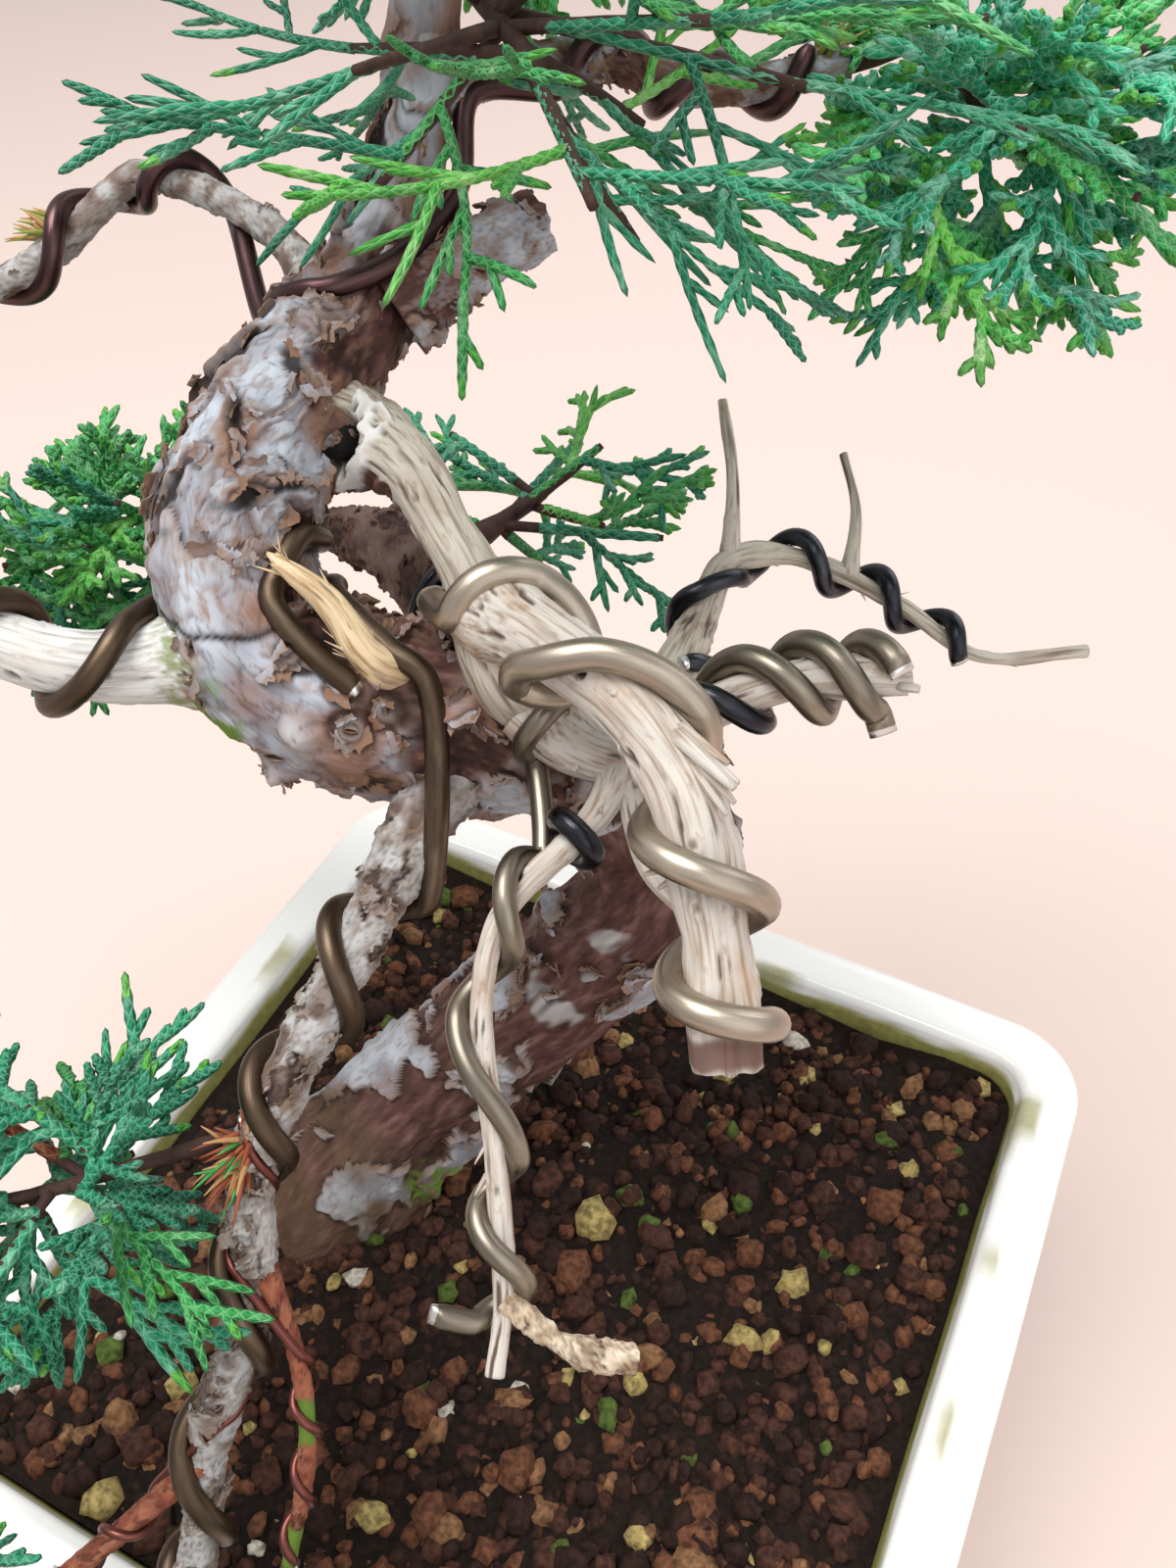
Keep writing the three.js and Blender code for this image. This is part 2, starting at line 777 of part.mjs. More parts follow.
const POT_INSIDE = POT_WIDTH - 2 * RIM_WIDTH;
const WALL_SLOPE = (POT_WIDTH - POT_FOOT_WIDTH) / (POT_HEIGHT - LIP);
const insideWidth = (z) => POT_INSIDE - WALL_SLOPE * (POT_HEIGHT - z);
const outsideWidth = (z) => POT_FOOT_WIDTH + WALL_SLOPE * z;

const pot = () => {
  const walls = skin([
    squareRing(POT_FOOT_WIDTH - 2 * LIP, CORNER_RADIUS - LIP, 0),
    squareRing(outsideWidth(LIP), CORNER_RADIUS, LIP),
    squareRing(outsideWidth(POT_HEIGHT - LIP), CORNER_RADIUS, POT_HEIGHT - LIP),
    squareRing(POT_WIDTH - LIP, CORNER_RADIUS - LIP / 2, POT_HEIGHT - LIP / 3),
    squareRing(POT_WIDTH - 2 * LIP, CORNER_RADIUS - LIP, POT_HEIGHT),
    squareRing(POT_INSIDE + 2 * LIP, INNER_CORNER_RADIUS + LIP, POT_HEIGHT),
    squareRing(POT_INSIDE + LIP / 2, INNER_CORNER_RADIUS + LIP / 4, POT_HEIGHT - LIP / 3),
    squareRing(insideWidth(POT_HEIGHT - LIP), INNER_CORNER_RADIUS, POT_HEIGHT - LIP),
    squareRing(insideWidth(POT_FLOOR), INNER_CORNER_RADIUS, POT_FLOOR),
  ]);
  const drain = new THREE.CylinderGeometry(DRAIN_RADIUS, DRAIN_RADIUS, 3 * POT_FLOOR, DRAIN_SIDES);
  drain.rotateX(Math.PI / 2);
  drain.translate(0, DRAIN_OFFSET, 0);
  return walls.subtract(toSolid(drain));
};

// The trunk is cut off flat where it enters the soil.
const belowGround = new THREE.BoxGeometry(2 * POT_WIDTH, 2 * POT_WIDTH, POT_WIDTH);
belowGround.translate(0, 0, SOIL_TOP - POT_WIDTH / 2);
const ground = toSolid(belowGround);

// The soil's grains lie in uneven heaps: a block whose top is a grid of seeded heights.
const heaps = () => {
  const block = new THREE.BoxGeometry(POT_INSIDE, POT_INSIDE, 2, SOIL_STEPS, SOIL_STEPS, 1);
  const places = block.attributes.position;
  const step = POT_INSIDE / SOIL_STEPS;
  for (let i = 0; i < places.count; i++) {
    const column = Math.round(places.getX(i) / step + SOIL_STEPS / 2);
    const row = Math.round(places.getY(i) / step + SOIL_STEPS / 2);
    const height = SOIL_TOP + SOIL_RELIEF * chance(SOIL_SEED, row * (SOIL_STEPS + 1) + column);
    places.setZ(i, places.getZ(i) > 0 ? height : 0);
  }
  return toSolid(block);
};

// The soil fills the pot up to its heaps, and leaves room for the foot of the trunk.
const soil = () => {
  const inside = skin([
    squareRing(insideWidth(POT_FLOOR) - 2 * GAP, INNER_CORNER_RADIUS - GAP, POT_FLOOR + GAP),
    squareRing(insideWidth(POT_HEIGHT) - 2 * GAP, INNER_CORNER_RADIUS - GAP, POT_HEIGHT),
  ]);
  return mainPiece(inside.intersect(heaps()).subtract(limbs.trunk.solid(GAP).subtract(ground)));
};

const tree = new THREE.Group();
const addPart = (name, solid, finish) => {
  const mesh = new THREE.Mesh(toGeometry(solid), finish);
  mesh.name = name;
  tree.add(mesh);
};

const BARE = [
  "dead_arch",
  "front_jin",
  "right_jin",
  "hanging_jin",
  "hanging_spur",
  "barked_twig",
  "left_jin",
  "torn_stub",
  "rear_jin",
  "rear_twig_left",
  "rear_twig_right",
];
for (const [name, limb] of Object.entries(limbs)) {
  const { from = [] } = LIMBS[name];
  let solid = limb.solid();
  for (const parent of from) {
    solid = solid.subtract(limbs[parent].solid(GAP));
  }
  if (name === "trunk") {
    solid = solid.subtract(ground);
  }
  addPart(name, mainPiece(solid), BARE.includes(name) ? DEAD_WOOD : BARK);
}

for (const [name, curve] of Object.entries(wireCurves)) {
  const { radius, finish } = WIRES[name];
  addPart(name, sweep(curve, curve.points.length, WIRE_SIDES, () => radius), finish);
}
Object.entries(MASSES).forEach(([name, mass], i) => addPart(name, growMass(mass, i + 1), FOLIAGE));
addPart("pot", pot(), GLAZE);
addPart("soil", soil(), SOIL);

export default tree;
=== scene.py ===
# %% [markdown]
# # A wired juniper bonsai in a square white pot
#
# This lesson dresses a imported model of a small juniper. Each step below replaces plain solids with the
# surface that the real tree has: flaking bark, weathered dead wood, anodised wire, scale-leaved shoots,
# glazed stoneware and loose soil granules. Only the soil keeps its solid. Lengths are in millimetres until
# a mesh is made, because that is how a bonsai grower would measure them.

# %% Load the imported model
import itertools

import bpy
import numpy as np
from mathutils import Matrix, Vector


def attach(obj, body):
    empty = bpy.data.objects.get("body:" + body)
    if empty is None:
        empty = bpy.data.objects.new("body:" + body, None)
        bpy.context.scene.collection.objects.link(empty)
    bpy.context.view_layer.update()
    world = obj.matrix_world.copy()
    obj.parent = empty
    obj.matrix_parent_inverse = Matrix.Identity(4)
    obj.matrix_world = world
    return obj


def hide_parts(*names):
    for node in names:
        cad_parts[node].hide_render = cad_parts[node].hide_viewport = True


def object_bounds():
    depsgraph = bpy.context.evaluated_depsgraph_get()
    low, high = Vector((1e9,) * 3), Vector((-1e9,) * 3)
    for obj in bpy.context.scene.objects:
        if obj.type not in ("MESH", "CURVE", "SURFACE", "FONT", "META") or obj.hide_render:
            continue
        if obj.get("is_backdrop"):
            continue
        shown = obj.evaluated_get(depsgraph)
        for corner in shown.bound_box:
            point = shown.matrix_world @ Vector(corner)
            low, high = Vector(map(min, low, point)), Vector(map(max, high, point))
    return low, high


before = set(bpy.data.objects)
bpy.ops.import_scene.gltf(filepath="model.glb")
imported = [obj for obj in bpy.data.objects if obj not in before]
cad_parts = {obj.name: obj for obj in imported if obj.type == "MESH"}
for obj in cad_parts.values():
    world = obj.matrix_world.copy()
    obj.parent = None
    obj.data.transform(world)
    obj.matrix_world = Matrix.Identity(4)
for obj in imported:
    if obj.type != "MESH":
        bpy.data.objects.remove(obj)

MM = 0.001
FULL_TURN = 2 * np.pi
GOLDEN_ANGLE = np.pi * (3 - np.sqrt(5))
cad_low, cad_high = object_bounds()
print("the part is", [round(size / MM) for size in cad_high - cad_low], "mm")

# %% [markdown]
# ## Colours and nodes
#
# Colours are given as sRGB hex values, the way a paint chart gives them, but Blender mixes light in
# linear values, so one function turns the first into the second. Another adds any shader node with its
# settings and links, so that each material below reads as a short recipe.

# %% Helpers for materials
def linear(code):
    """A channel c up to 0.04045 is c / 12.92, and a higher one is ((c + 0.055) / 1.055) to the power 2.4."""
    channel = np.array([int(code[i:i + 2], 16) for i in (1, 3, 5)]) / 255
    bright = ((channel + 0.055) / 1.055) ** 2.4
    return (*np.where(channel <= 0.04045, channel / 12.92, bright).tolist(), 1.0)


def feed(tree, node, inputs):
    """Sets or links a node's inputs. A source is a value, an output, or a node that stands for its first
    live output."""
    for socket, source in inputs.items():
        if isinstance(source, bpy.types.Node):
            source = next(output for output in source.outputs if output.enabled)
        if isinstance(source, bpy.types.NodeSocket):
            tree.links.new(source, node.inputs[socket])
        else:
            node.inputs[socket].default_value = source


def add(tree, kind, inputs=None, stops=(), **settings):
    """Adds a node with its settings and links. A ramp's stop is (place, hex colour)."""
    node = tree.nodes.new("ShaderNode" + kind)
    for key, value in settings.items():
        setattr(node, key, value)
    feed(tree, node, inputs or {})
    for i, (place, code) in enumerate(stops):
        ramp = node.color_ramp.elements
        stop = ramp[i] if i < len(ramp) else ramp.new(place)
        stop.position = place
        stop.color = linear(code)
    return node


def start_material(name, **sockets):
    """A material with one Principled shader, whose sockets are set directly."""
    material = bpy.data.materials.new(name)
    material.use_nodes = True
    tree = material.node_tree
    shader = tree.nodes["Principled BSDF"]
    for socket, value in sockets.items():
        shader.inputs[socket.replace("_", " ")].default_value = value
    return material, tree, shader


print("mid grey in linear light is", round(linear("#808080")[0], 3))

# %% [markdown]
# ## Smooth noise and irregular cells
#
# Bark, wood and soil are never even. Two kinds of unevenness cover nearly all of it: smooth noise, for
# swells, fibres and stains, and irregular cells, for plates with cracks between them. Both are computed
# here on whole arrays of points, so that the visible relief is real geometry and not only a trick of the
# shader.

# %% Noise and cells on arrays of points
def lattice(cell, seed):
    """A number from 0 to 1 for each whole-number cell: its coordinates are multiplied, folded and mixed."""
    mixed = cell[..., 0] * 73856093 ^ cell[..., 1] * 19349663 ^ cell[..., 2] * 83492791 ^ (seed * 668265263)
    mixed = (mixed ^ (mixed >> 13)) * 1274126177
    return ((mixed ^ (mixed >> 16)) & 0xFFFFFF) / 0xFFFFFF


def noise(points, size, seed=0):
    """Smooth noise from -1 to 1: lattice numbers a size apart, blended between the eight corners round a
    point."""
    place = points / np.asarray(size, float)
    cell = np.floor(place).astype(np.int64)
    share = place - cell
    share = share * share * (3 - 2 * share)
    total = np.zeros(points.shape[:-1])
    for corner in itertools.product((0, 1), repeat=3):
        weight = np.prod(np.where(corner, share, 1 - share), axis=-1)
        total += weight * lattice(cell + np.array(corner), seed)
    return 2 * total - 1


def cells(points, size, seed=0):
    """Irregular cells round scattered middles: how far the nearest middle is, how much farther the next, and
    the numbers of both."""
    place = points / np.asarray(size, float)
    base = np.floor(place).astype(np.int64)
    nearest = np.full(points.shape[:-1], np.inf)
    second = nearest.copy()
    owner, other = np.zeros(nearest.shape), np.zeros(nearest.shape)
    for offset in itertools.product((-1, 0, 1), repeat=3):
        cell = base + np.array(offset)
        middle = cell + np.stack([lattice(cell, seed + axis) for axis in (1, 2, 3)], -1)
        distance = np.linalg.norm(middle - place, axis=-1)
        closer = distance < nearest
        number = lattice(cell, seed + 4)
        other = np.where(closer, owner, np.where(distance < second, number, other))
        second = np.where(closer, nearest, np.minimum(second, distance))
        owner = np.where(closer, number, owner)
        nearest = np.where(closer, distance, nearest)
    return nearest, second - nearest, owner, other


def fade(value, low, high):
    """0 below low and 1 above high, with a smooth S between: 3t² - 2t³."""
    share = np.clip((value - low) / (high - low), 0, 1)
    return share * share * (3 - 2 * share)


def unit_rows(vectors):
    """Each vector over its own length."""
    return vectors / np.linalg.norm(vectors, axis=-1, keepdims=True)


def wrapped(angle):
    """The same angle from minus half a turn to half a turn."""
    return np.angle(np.exp(1j * angle))


sample = noise(np.random.default_rng(1).uniform(0, 100, (1000, 3)), 7)
print("noise runs from", round(sample.min(), 2), "to", round(sample.max(), 2))

# %% [markdown]
# ## From arrays to a mesh
#
# Every piece below is a grid or a row of small shapes computed as arrays. This function hands such arrays to
# Blender in one go with foreach_set, which is far quicker than adding vertices one at a time. Masks such as
# "crack" are kept as point attributes, so that a material knows where the relief is.

# %% Hand arrays to Blender
def make_piece(name, points, faces, materials, replaced=(),
               kinds=None, weave=None, masks=None, smooth=True):
    """Points are in mm, and a face is a row of point numbers. Kinds give each face's place in the
    materials, and the weave gives two numbers for each corner of each face."""
    mesh = bpy.data.meshes.new(name)
    faces = np.asarray(faces, np.int32)
    corners = faces.shape[1]
    mesh.vertices.add(len(points))
    mesh.vertices.foreach_set("co", (np.asarray(points) * MM).astype(np.float32).ravel())
    mesh.loops.add(faces.size)
    mesh.loops.foreach_set("vertex_index", faces.ravel())
    mesh.polygons.add(len(faces))
    mesh.polygons.foreach_set("loop_start", np.arange(0, faces.size, corners, dtype=np.int32))
    for material in materials:
        mesh.materials.append(material)
    if kinds is not None:
        mesh.polygons.foreach_set("material_index", np.asarray(kinds, np.int32))
    mesh.update(calc_edges=True)
    mesh.polygons.foreach_set("use_smooth", np.full(len(faces), smooth))
    if weave is not None:
        mesh.uv_layers.new(name="weave").data.foreach_set("uv", weave.astype(np.float32).ravel())
    for label, values in (masks or {}).items():
        kind, field = ("FLOAT_VECTOR", "vector") if np.ndim(values) == 2 else ("FLOAT", "value")
        attribute = mesh.attributes.new(label, kind, "POINT")
        attribute.data.foreach_set(field, np.asarray(values, np.float32).ravel())
    piece = bpy.data.objects.new(name, mesh)
    bpy.context.scene.collection.objects.link(piece)
    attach(piece, "root")
    if replaced:
        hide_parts(*replaced)
    print(name, "has", len(faces), "faces")
    return piece


def tube_faces(rows, sides):
    """Two triangles for each patch of a grid that closes round, and a fan to a middle point at either end."""
    row = np.arange(rows - 1)[:, None] * sides
    here = np.arange(sides)
    beside = (here + 1) % sides
    low, low_next = row + here, row + beside
    high, high_next = low + sides, low_next + sides
    patches = np.stack([low, low_next, high_next, low, high_next, high], -1).reshape(-1, 3)
    first = np.full(sides, rows * sides)
    top = (rows - 1) * sides
    start = np.stack([first, beside, here], -1)
    end = np.stack([first + 1, top + here, top + beside], -1)
    return np.vstack([patches, start, end])


def copied_faces(one, count, each):
    """The same shape's faces for every copy, whose points follow each other by so many."""
    return (one[None] + np.arange(count)[:, None, None] * each).reshape(-1, one.shape[1])


def square_to(way):
    """A direction square to each way. It avoids the upright axis where the way is nearly upright itself."""
    helper = np.where(np.abs(way[..., 2:]) > 0.8, [1.0, 0, 0], [0, 0, 1.0])
    return np.cross(way, helper)


def tube_points(rings):
    """The rings' points in a row, and then the middles of the first and last ring for the fans."""
    return np.vstack([rings.reshape(-1, 3), rings[0].mean(0), rings[-1].mean(0)])


print("a tube of 3 rings of 4 points has", len(tube_faces(3, 4)), "faces")

# %% [markdown]
# ## Camera, light and floor
#
# The photograph looks down on the tree at 46 degrees from just over the pot's front edge, with a wide lens
# close by. The pot's square rim fixed the place and the lens. A plain peach floor and big soft lamps give
# the bright, almost shadowless light of a product photograph, and small warm highlights on the wire.

# %% The camera
CAMERA_PLACE = Vector((51.14, -81.59, 281.8)) * MM
CAMERA_RIGHT = Vector((0.8965, 0.4431, 0)).normalized()
CAMERA_VIEW = Vector((-0.3084, 0.6239, -0.7181)).normalized()
CAMERA_UP = CAMERA_RIGHT.cross(CAMERA_VIEW)

camera = bpy.data.objects.new("camera", bpy.data.cameras.new("camera"))
camera.data.lens = 30.24
camera.data.clip_start = 0.005
camera.matrix_world = Matrix.Translation(CAMERA_PLACE) @ Matrix(
    (CAMERA_RIGHT, CAMERA_UP, -CAMERA_VIEW)
).transposed().to_4x4()
bpy.context.scene.collection.objects.link(camera)
bpy.context.scene.camera = camera
print("the camera is", round(CAMERA_PLACE.length / MM), "mm from the pot's foot")

# %% The floor and the lamps
FLOOR_HALF = 6000

floor_paper, tree, shader = start_material("floor_paper", Roughness=0.9)
shader.inputs["Base Color"].default_value = linear("#d9c6bd")
corners = np.array([(-1, -1, 0), (1, -1, 0), (1, 1, 0), (-1, 1, 0)]) * FLOOR_HALF * MM
sheet = bpy.data.meshes.new("floor")
sheet.from_pydata(corners.tolist(), [], [(0, 1, 2, 3)])
sheet.materials.append(floor_paper)
floor = bpy.data.objects.new("floor", sheet)
bpy.context.scene.collection.objects.link(floor)
floor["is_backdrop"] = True


def lamp(name, place, target, width, power, code):
    """A square soft lamp in metres and watts that faces its target along its own -Z."""
    light = bpy.data.lights.new(name, "AREA")
    light.size = width
    light.energy = power
    light.color = linear(code)[:3]
    holder = bpy.data.objects.new(name, light)
    holder.location = place
    holder.rotation_euler = (Vector(target) - Vector(place)).to_track_quat("-Z", "Y").to_euler()
    bpy.context.scene.collection.objects.link(holder)


TREE_MIDDLE = (0, 0, 0.17)
lamp("key", (-0.28, -0.15, 1.12), TREE_MIDDLE, 0.6, 11, "#fffdfb")
lamp("fill", (0.9, -0.5, 0.7), TREE_MIDDLE, 1.4, 5.5, "#fffcfa")
lamp("back", (0.3, 1.0, 0.8), TREE_MIDDLE, 0.8, 4, "#fbfcff")

world = bpy.data.worlds.new("studio")
world.use_nodes = True
sky = world.node_tree.nodes["Background"]
sky.inputs["Color"].default_value = linear("#faf9fb")
sky.inputs["Strength"].default_value = 0.69
bpy.context.scene.world = world
bpy.context.scene.view_settings.view_transform = "Standard"
print("three lamps and a pale sky")

# %% [markdown]
# ## Where the limbs run
#
# A limb is a smooth bend through a few stations, each a place and a radius. The spline is the same
# centripetal Catmull-Rom curve that the part's source uses, so the bark made here lies where the solid limb
# is. Angles round a limb are counted from the side that faces the viewer.

# %% Curves with a radius
FRONT = np.array([0.31, -0.62, 0.72])
FRONT = FRONT / np.linalg.norm(FRONT)


class Path:
    """A table of places, directions and radii at even steps of length along a smooth bend."""

    def __init__(self, stations, fine=60):
        """Each span is a cubic through its two stations. Its end slopes come from its neighbours, with the
        square roots of the chords as the steps of time, and both ends are continued in a straight line."""
        stations = np.array(stations, float)
        radii = stations[:, 3] if stations.shape[1] > 3 else np.ones(len(stations))
        middle = stations[:, :3]
        ends = np.vstack([2 * middle[0] - middle[1], middle, 2 * middle[-1] - middle[-2]])
        before, start, end, after = ends[:-3], ends[1:-2], ends[2:-1], ends[3:]
        time = np.sqrt(np.linalg.norm(np.diff(ends, axis=0), axis=1))[:, None]
        first, mid, last = time[:-2], time[1:-1], time[2:]
        slope = ((start - before) / first - (end - before) / (first + mid) + (end - start) / mid) * mid
        slope_end = ((end - start) / mid - (after - start) / (mid + last) + (after - end) / last) * mid
        u = np.linspace(0, 1, fine, endpoint=False)[:, None, None]
        curve = start + slope * u + (3 * (end - start) - 2 * slope - slope_end) * u**2
        curve = curve + (2 * (start - end) + slope + slope_end) * u**3
        points = np.vstack([curve.transpose(1, 0, 2).reshape(-1, 3), middle[-1]])
        spans = len(middle) - 1
        radius = np.interp(np.linspace(0, spans, len(points)), np.arange(spans + 1), radii)
        self.table_s = np.concatenate([[0], np.cumsum(np.linalg.norm(np.diff(points, axis=0), axis=1))])
        self.length = self.table_s[-1]
        self.table = np.column_stack([points, unit_rows(np.gradient(points, axis=0)), radius])

    def at(self, s):
        """Place, direction and radius at lengths s from the start."""
        s = np.asarray(s, float)
        row = np.stack([np.interp(s, self.table_s, column) for column in self.table.T], -1)
        return row[..., :3], row[..., 3:6], row[..., 6]

    def round(self, s, angle):
        """The direction that points out of the limb at an angle from its front: cos·front + sin·side."""
        along = self.at(s)[1]
        front = unit_rows(FRONT - (along @ FRONT)[..., None] * along)
        side = np.cross(along, front)
        return np.cos(angle)[..., None] * front + np.sin(angle)[..., None] * side

    def beside(self, share, degrees, off):
        """A point beside the limb, off mm from its surface."""
        s = share * self.length
        centre, _, radius = self.at(s)
        return centre + self.round(s, np.radians(degrees)) * (radius + off)[..., None]


print("a straight path of 10 mm measures", Path([[0, 0, 0, 1], [5, 0, 0, 1], [10, 0, 0, 1]]).length)


# %% [markdown]
# ## The limbs' stations
#
# The trunk leans out of the soil, folds back on itself and rises to its tip. Dead limbs, called jins, arch
# out of its bend, and living boughs carry the foliage. Each station below is x, y, z and radius in mm, as
# in the part's source.

# %% Stations of the limbs
LIMBS = {
    "trunk": [
        (-38, -9, 63, 11.5), (-30, 4, 79, 11), (-17, 16, 99, 10.4), (-4, 23, 118, 10), (6, 28, 138, 10),
        (6, 29, 154, 10), (-2, 24, 167, 10), (-11, 14, 176, 10), (-22, 7, 181, 9.4), (-32, 5, 187, 8.6),
        (-38, 10, 195, 8.1), (-39, 19, 202, 8), (-37, 34, 210, 6), (-36, 46, 220, 4.3),
        (-37, 55, 234, 3.9), (-34, 55, 250, 2.6), (-30, 51, 262, 1.5),
    ],
    "dead_arch": [
        (-38, 23, 203, 4.2), (-29.5, 26, 201, 3.6), (-22.5, 23, 201, 3.1), (-16, 19, 198, 3),
        (-10.5, 15.5, 194.5, 3.3), (-5, 12, 188, 4.6), (-3, 20, 172, 5),
    ],
    "front_jin": [
        (-9, 14, 194, 3.6), (1, 10, 195, 3.6), (11, 7, 193.5, 3.6), (20, 2, 190, 3.5),
        (27, -5, 180, 3.5), (32, -12, 169, 3.3),
    ],
    "right_jin": [
        (-4, 13, 184, 3), (4, 11.5, 180, 3), (10, 13.5, 179, 2.8), (16, 21, 183, 2.5),
        (23, 27, 185, 2.4), (34, 33, 185, 2.3),
    ],
    "hanging_jin": [
        (9, 13, 179, 1.5), (9, 6, 177, 1.5), (4, -7, 171, 1.4), (5, -14, 164, 1.4), (11, -23, 154, 1.3),
        (17, -33, 142, 1.2), (19, -39, 137, 1),
    ],
    "hanging_spur": [
        (10, 11, 178.5, 1.2), (16, 4, 173.5, 1.1), (21, 3, 170, 0.9),
    ],
    "barked_twig": [
        (17, -33, 142, 0.8), (24, -33.5, 139, 0.8), (27, -33, 138.4, 1.5), (32, -31, 137.5, 1.2),
    ],
    "left_jin": [
        (-34, 5, 185, 4.4), (-46, -7, 187, 3.8), (-56, -11, 190, 3.5), (-67, -15.5, 194, 3.3),
        (-77, -19, 197, 3.1),
    ],
    "torn_stub": [
        (-15, 12, 181, 1.9), (-17.5, 4.5, 190, 1.7), (-21.5, 4.5, 196, 1.6), (-27.5, 3.5, 201, 0.9),
    ],
    "rear_jin": [
        (4, 29, 160, 3.4), (4, 38, 168, 3.2), (3.5, 48, 171, 2.4), (4, 57, 175, 1.7),
        (11, 61.5, 175.4, 1.5), (26, 63.6, 171, 1.3), (38, 64, 166, 1.1), (51, 71, 166.4, 0.7),
    ],
    "rear_twig_left": [
        (4, 57, 175, 1), (0.5, 65, 183, 0.9), (-4, 71, 190, 0.7),
    ],
    "rear_twig_right": [
        (19, 63, 173.6, 1), (17, 69, 180, 0.8), (13, 73.5, 185, 0.6),
    ],
    "low_bough": [
        (-11, 9, 175, 3.2), (-10.5, -7, 168.5, 2.7), (-12, -20, 160.5, 2.5), (-14, -33, 148.5, 2.2),
        (-10.5, -43, 135, 2.1), (-11, -54, 120, 2), (-9.5, -64, 105, 1.8), (-9, -70, 98, 1.6),
    ],
    "low_twig_right": [
        (-10.5, -40, 139, 1), (-3, -45.5, 130.5, 0.9), (0.5, -51, 122, 0.9), (2, -60, 110, 0.8),
    ],
    "low_twig_left": [
        (-11, -56, 117, 1.3), (-16, -65, 113, 1.2), (-21, -73, 109, 1.1),
    ],
    "left_bough": [
        (-37, 33, 210, 2.2), (-48, 39.5, 215, 1.7), (-58, 41, 218, 1.6), (-68, 39, 219.5, 1.5),
        (-75, 29, 213, 1.5), (-88, 15.5, 206, 1.4), (-94, 10, 203, 1.2),
    ],
    "fork_stub": [
        (-37, 33, 208, 4), (-30, 42, 213.5, 3.9), (-25, 47.5, 216.5, 3.5), (-20.5, 52, 218.5, 3.2),
    ],
    "right_bough": [
        (-37, 53, 229, 2.3), (-30, 62, 230, 2.1), (-22, 67, 231, 2), (-10, 68, 229.5, 1.9),
        (-2, 72, 230, 1.8), (6, 76, 232, 1.6),
    ],
    "rear_bough": [
        (-4, 22, 168, 4.4), (-13, 26, 170, 5.6), (-28, 38.5, 169.5, 6.2), (-45, 47.5, 168, 5),
        (-59, 50.5, 165, 2.4),
    ],
}
PATHS = {name: Path(stations) for name, stations in LIMBS.items()}
SOIL_TOP = 73
print("the trunk is", round(PATHS["trunk"].length), "mm long")

# %% [markdown]
# ## The skin of a limb
#
# A limb's skin is a grid of lengths and angles: out from the smooth bend by the limb's radius, plus a relief
# that a function gives for each point. The same function returns masks for the material. At its far end the
# grid closes over a cut face. Its start is sunk in the limb that it grows from, with a collar where the wood
# of the two flows together.

# %% A grid of lengths and angles round a limb
CAP = np.array([0.94, 0.8, 0.55, 0.25])
# A collar is a share of the radius at its root, and the length in mm over which it dies away.
COLLAR = (0.45, 2.5)
RAGGED_LENGTH = 1.5


def exit_length(name, parent):
    """The length at which a limb's middle comes out of its parent's side."""
    middle = PATHS[name].table[:, :3]
    every_sixth = PATHS[parent].table[::6]
    reach = np.linalg.norm(middle[:, None] - every_sixth[None, :, :3], axis=2) - every_sixth[:, 6]
    outside = reach.min(1) > 0
    return PATHS[name].table_s[np.argmax(outside)]


def limb_skin(name, sides, step, relief, start=0.0, collar_at=None, collar=COLLAR, ragged=0.15, swell=None):
    """Points are centre + out · (radius · swell + relief). Over the end cap the radius shrinks to the
    middle."""
    path = PATHS[name]
    angle = np.arange(sides) * FULL_TURN / sides
    start = np.broadcast_to(start, sides)
    rows = int((path.length - start.min()) / step)
    share = np.concatenate([np.linspace(0, 1, rows), np.ones(len(CAP))])[:, None]
    shrink = np.concatenate([np.ones(rows), CAP])[:, None]
    s = start + (path.length - start) * share
    angle = np.broadcast_to(angle, s.shape)
    centre, along, radius = path.at(s)
    if swell is not None:
        radius = radius * swell(centre, angle)
    if collar_at is not None:
        radius = radius * (1 + collar[0] * np.exp(-np.maximum(s - collar_at, 0) / collar[1]))
    grain = np.stack([radius * np.cos(angle), radius * np.sin(angle), s], -1)
    grain[..., :2] *= shrink[..., None]
    height, masks = relief(grain, s / path.length, angle, radius)
    near_end = fade(s, path.length - RAGGED_LENGTH, path.length)
    points = centre + path.round(s, angle) * ((radius + height) * shrink)[..., None]
    points = points + along * (near_end * ragged * noise(grain, 1.1, 31))[..., None]
    masks["grain"] = grain * MM
    packed = {}
    for kind, values in masks.items():
        rows_of = values.reshape(-1, 3) if values.ndim == 3 else values.reshape(-1)
        packed[kind] = np.concatenate([rows_of, rows_of[:1], rows_of[-1:]])
    return tube_points(points), tube_faces(*s.shape), packed


print("low_bough leaves the trunk", round(exit_length("low_bough", "trunk"), 1), "mm from its start")

# %% [markdown]
# ## Juniper bark
#
# Old juniper bark is a stack of torn sheets. Smooth pale ones, grey with a touch of lilac, end in ragged
# tan rims that curl up, and here and there the purple-brown underbark is bare. Below each rim a dark line of
# shadow is painted into the colour. A displaced surface catches the sheets' thickness, which a bump texture
# would not.
# Cells a few millimetres wide have one of three levels each; where two cells of a level meet, they are one
# sheet.

# %% The relief of plates, rims and cracks
MISSING_PLATES = 0.05


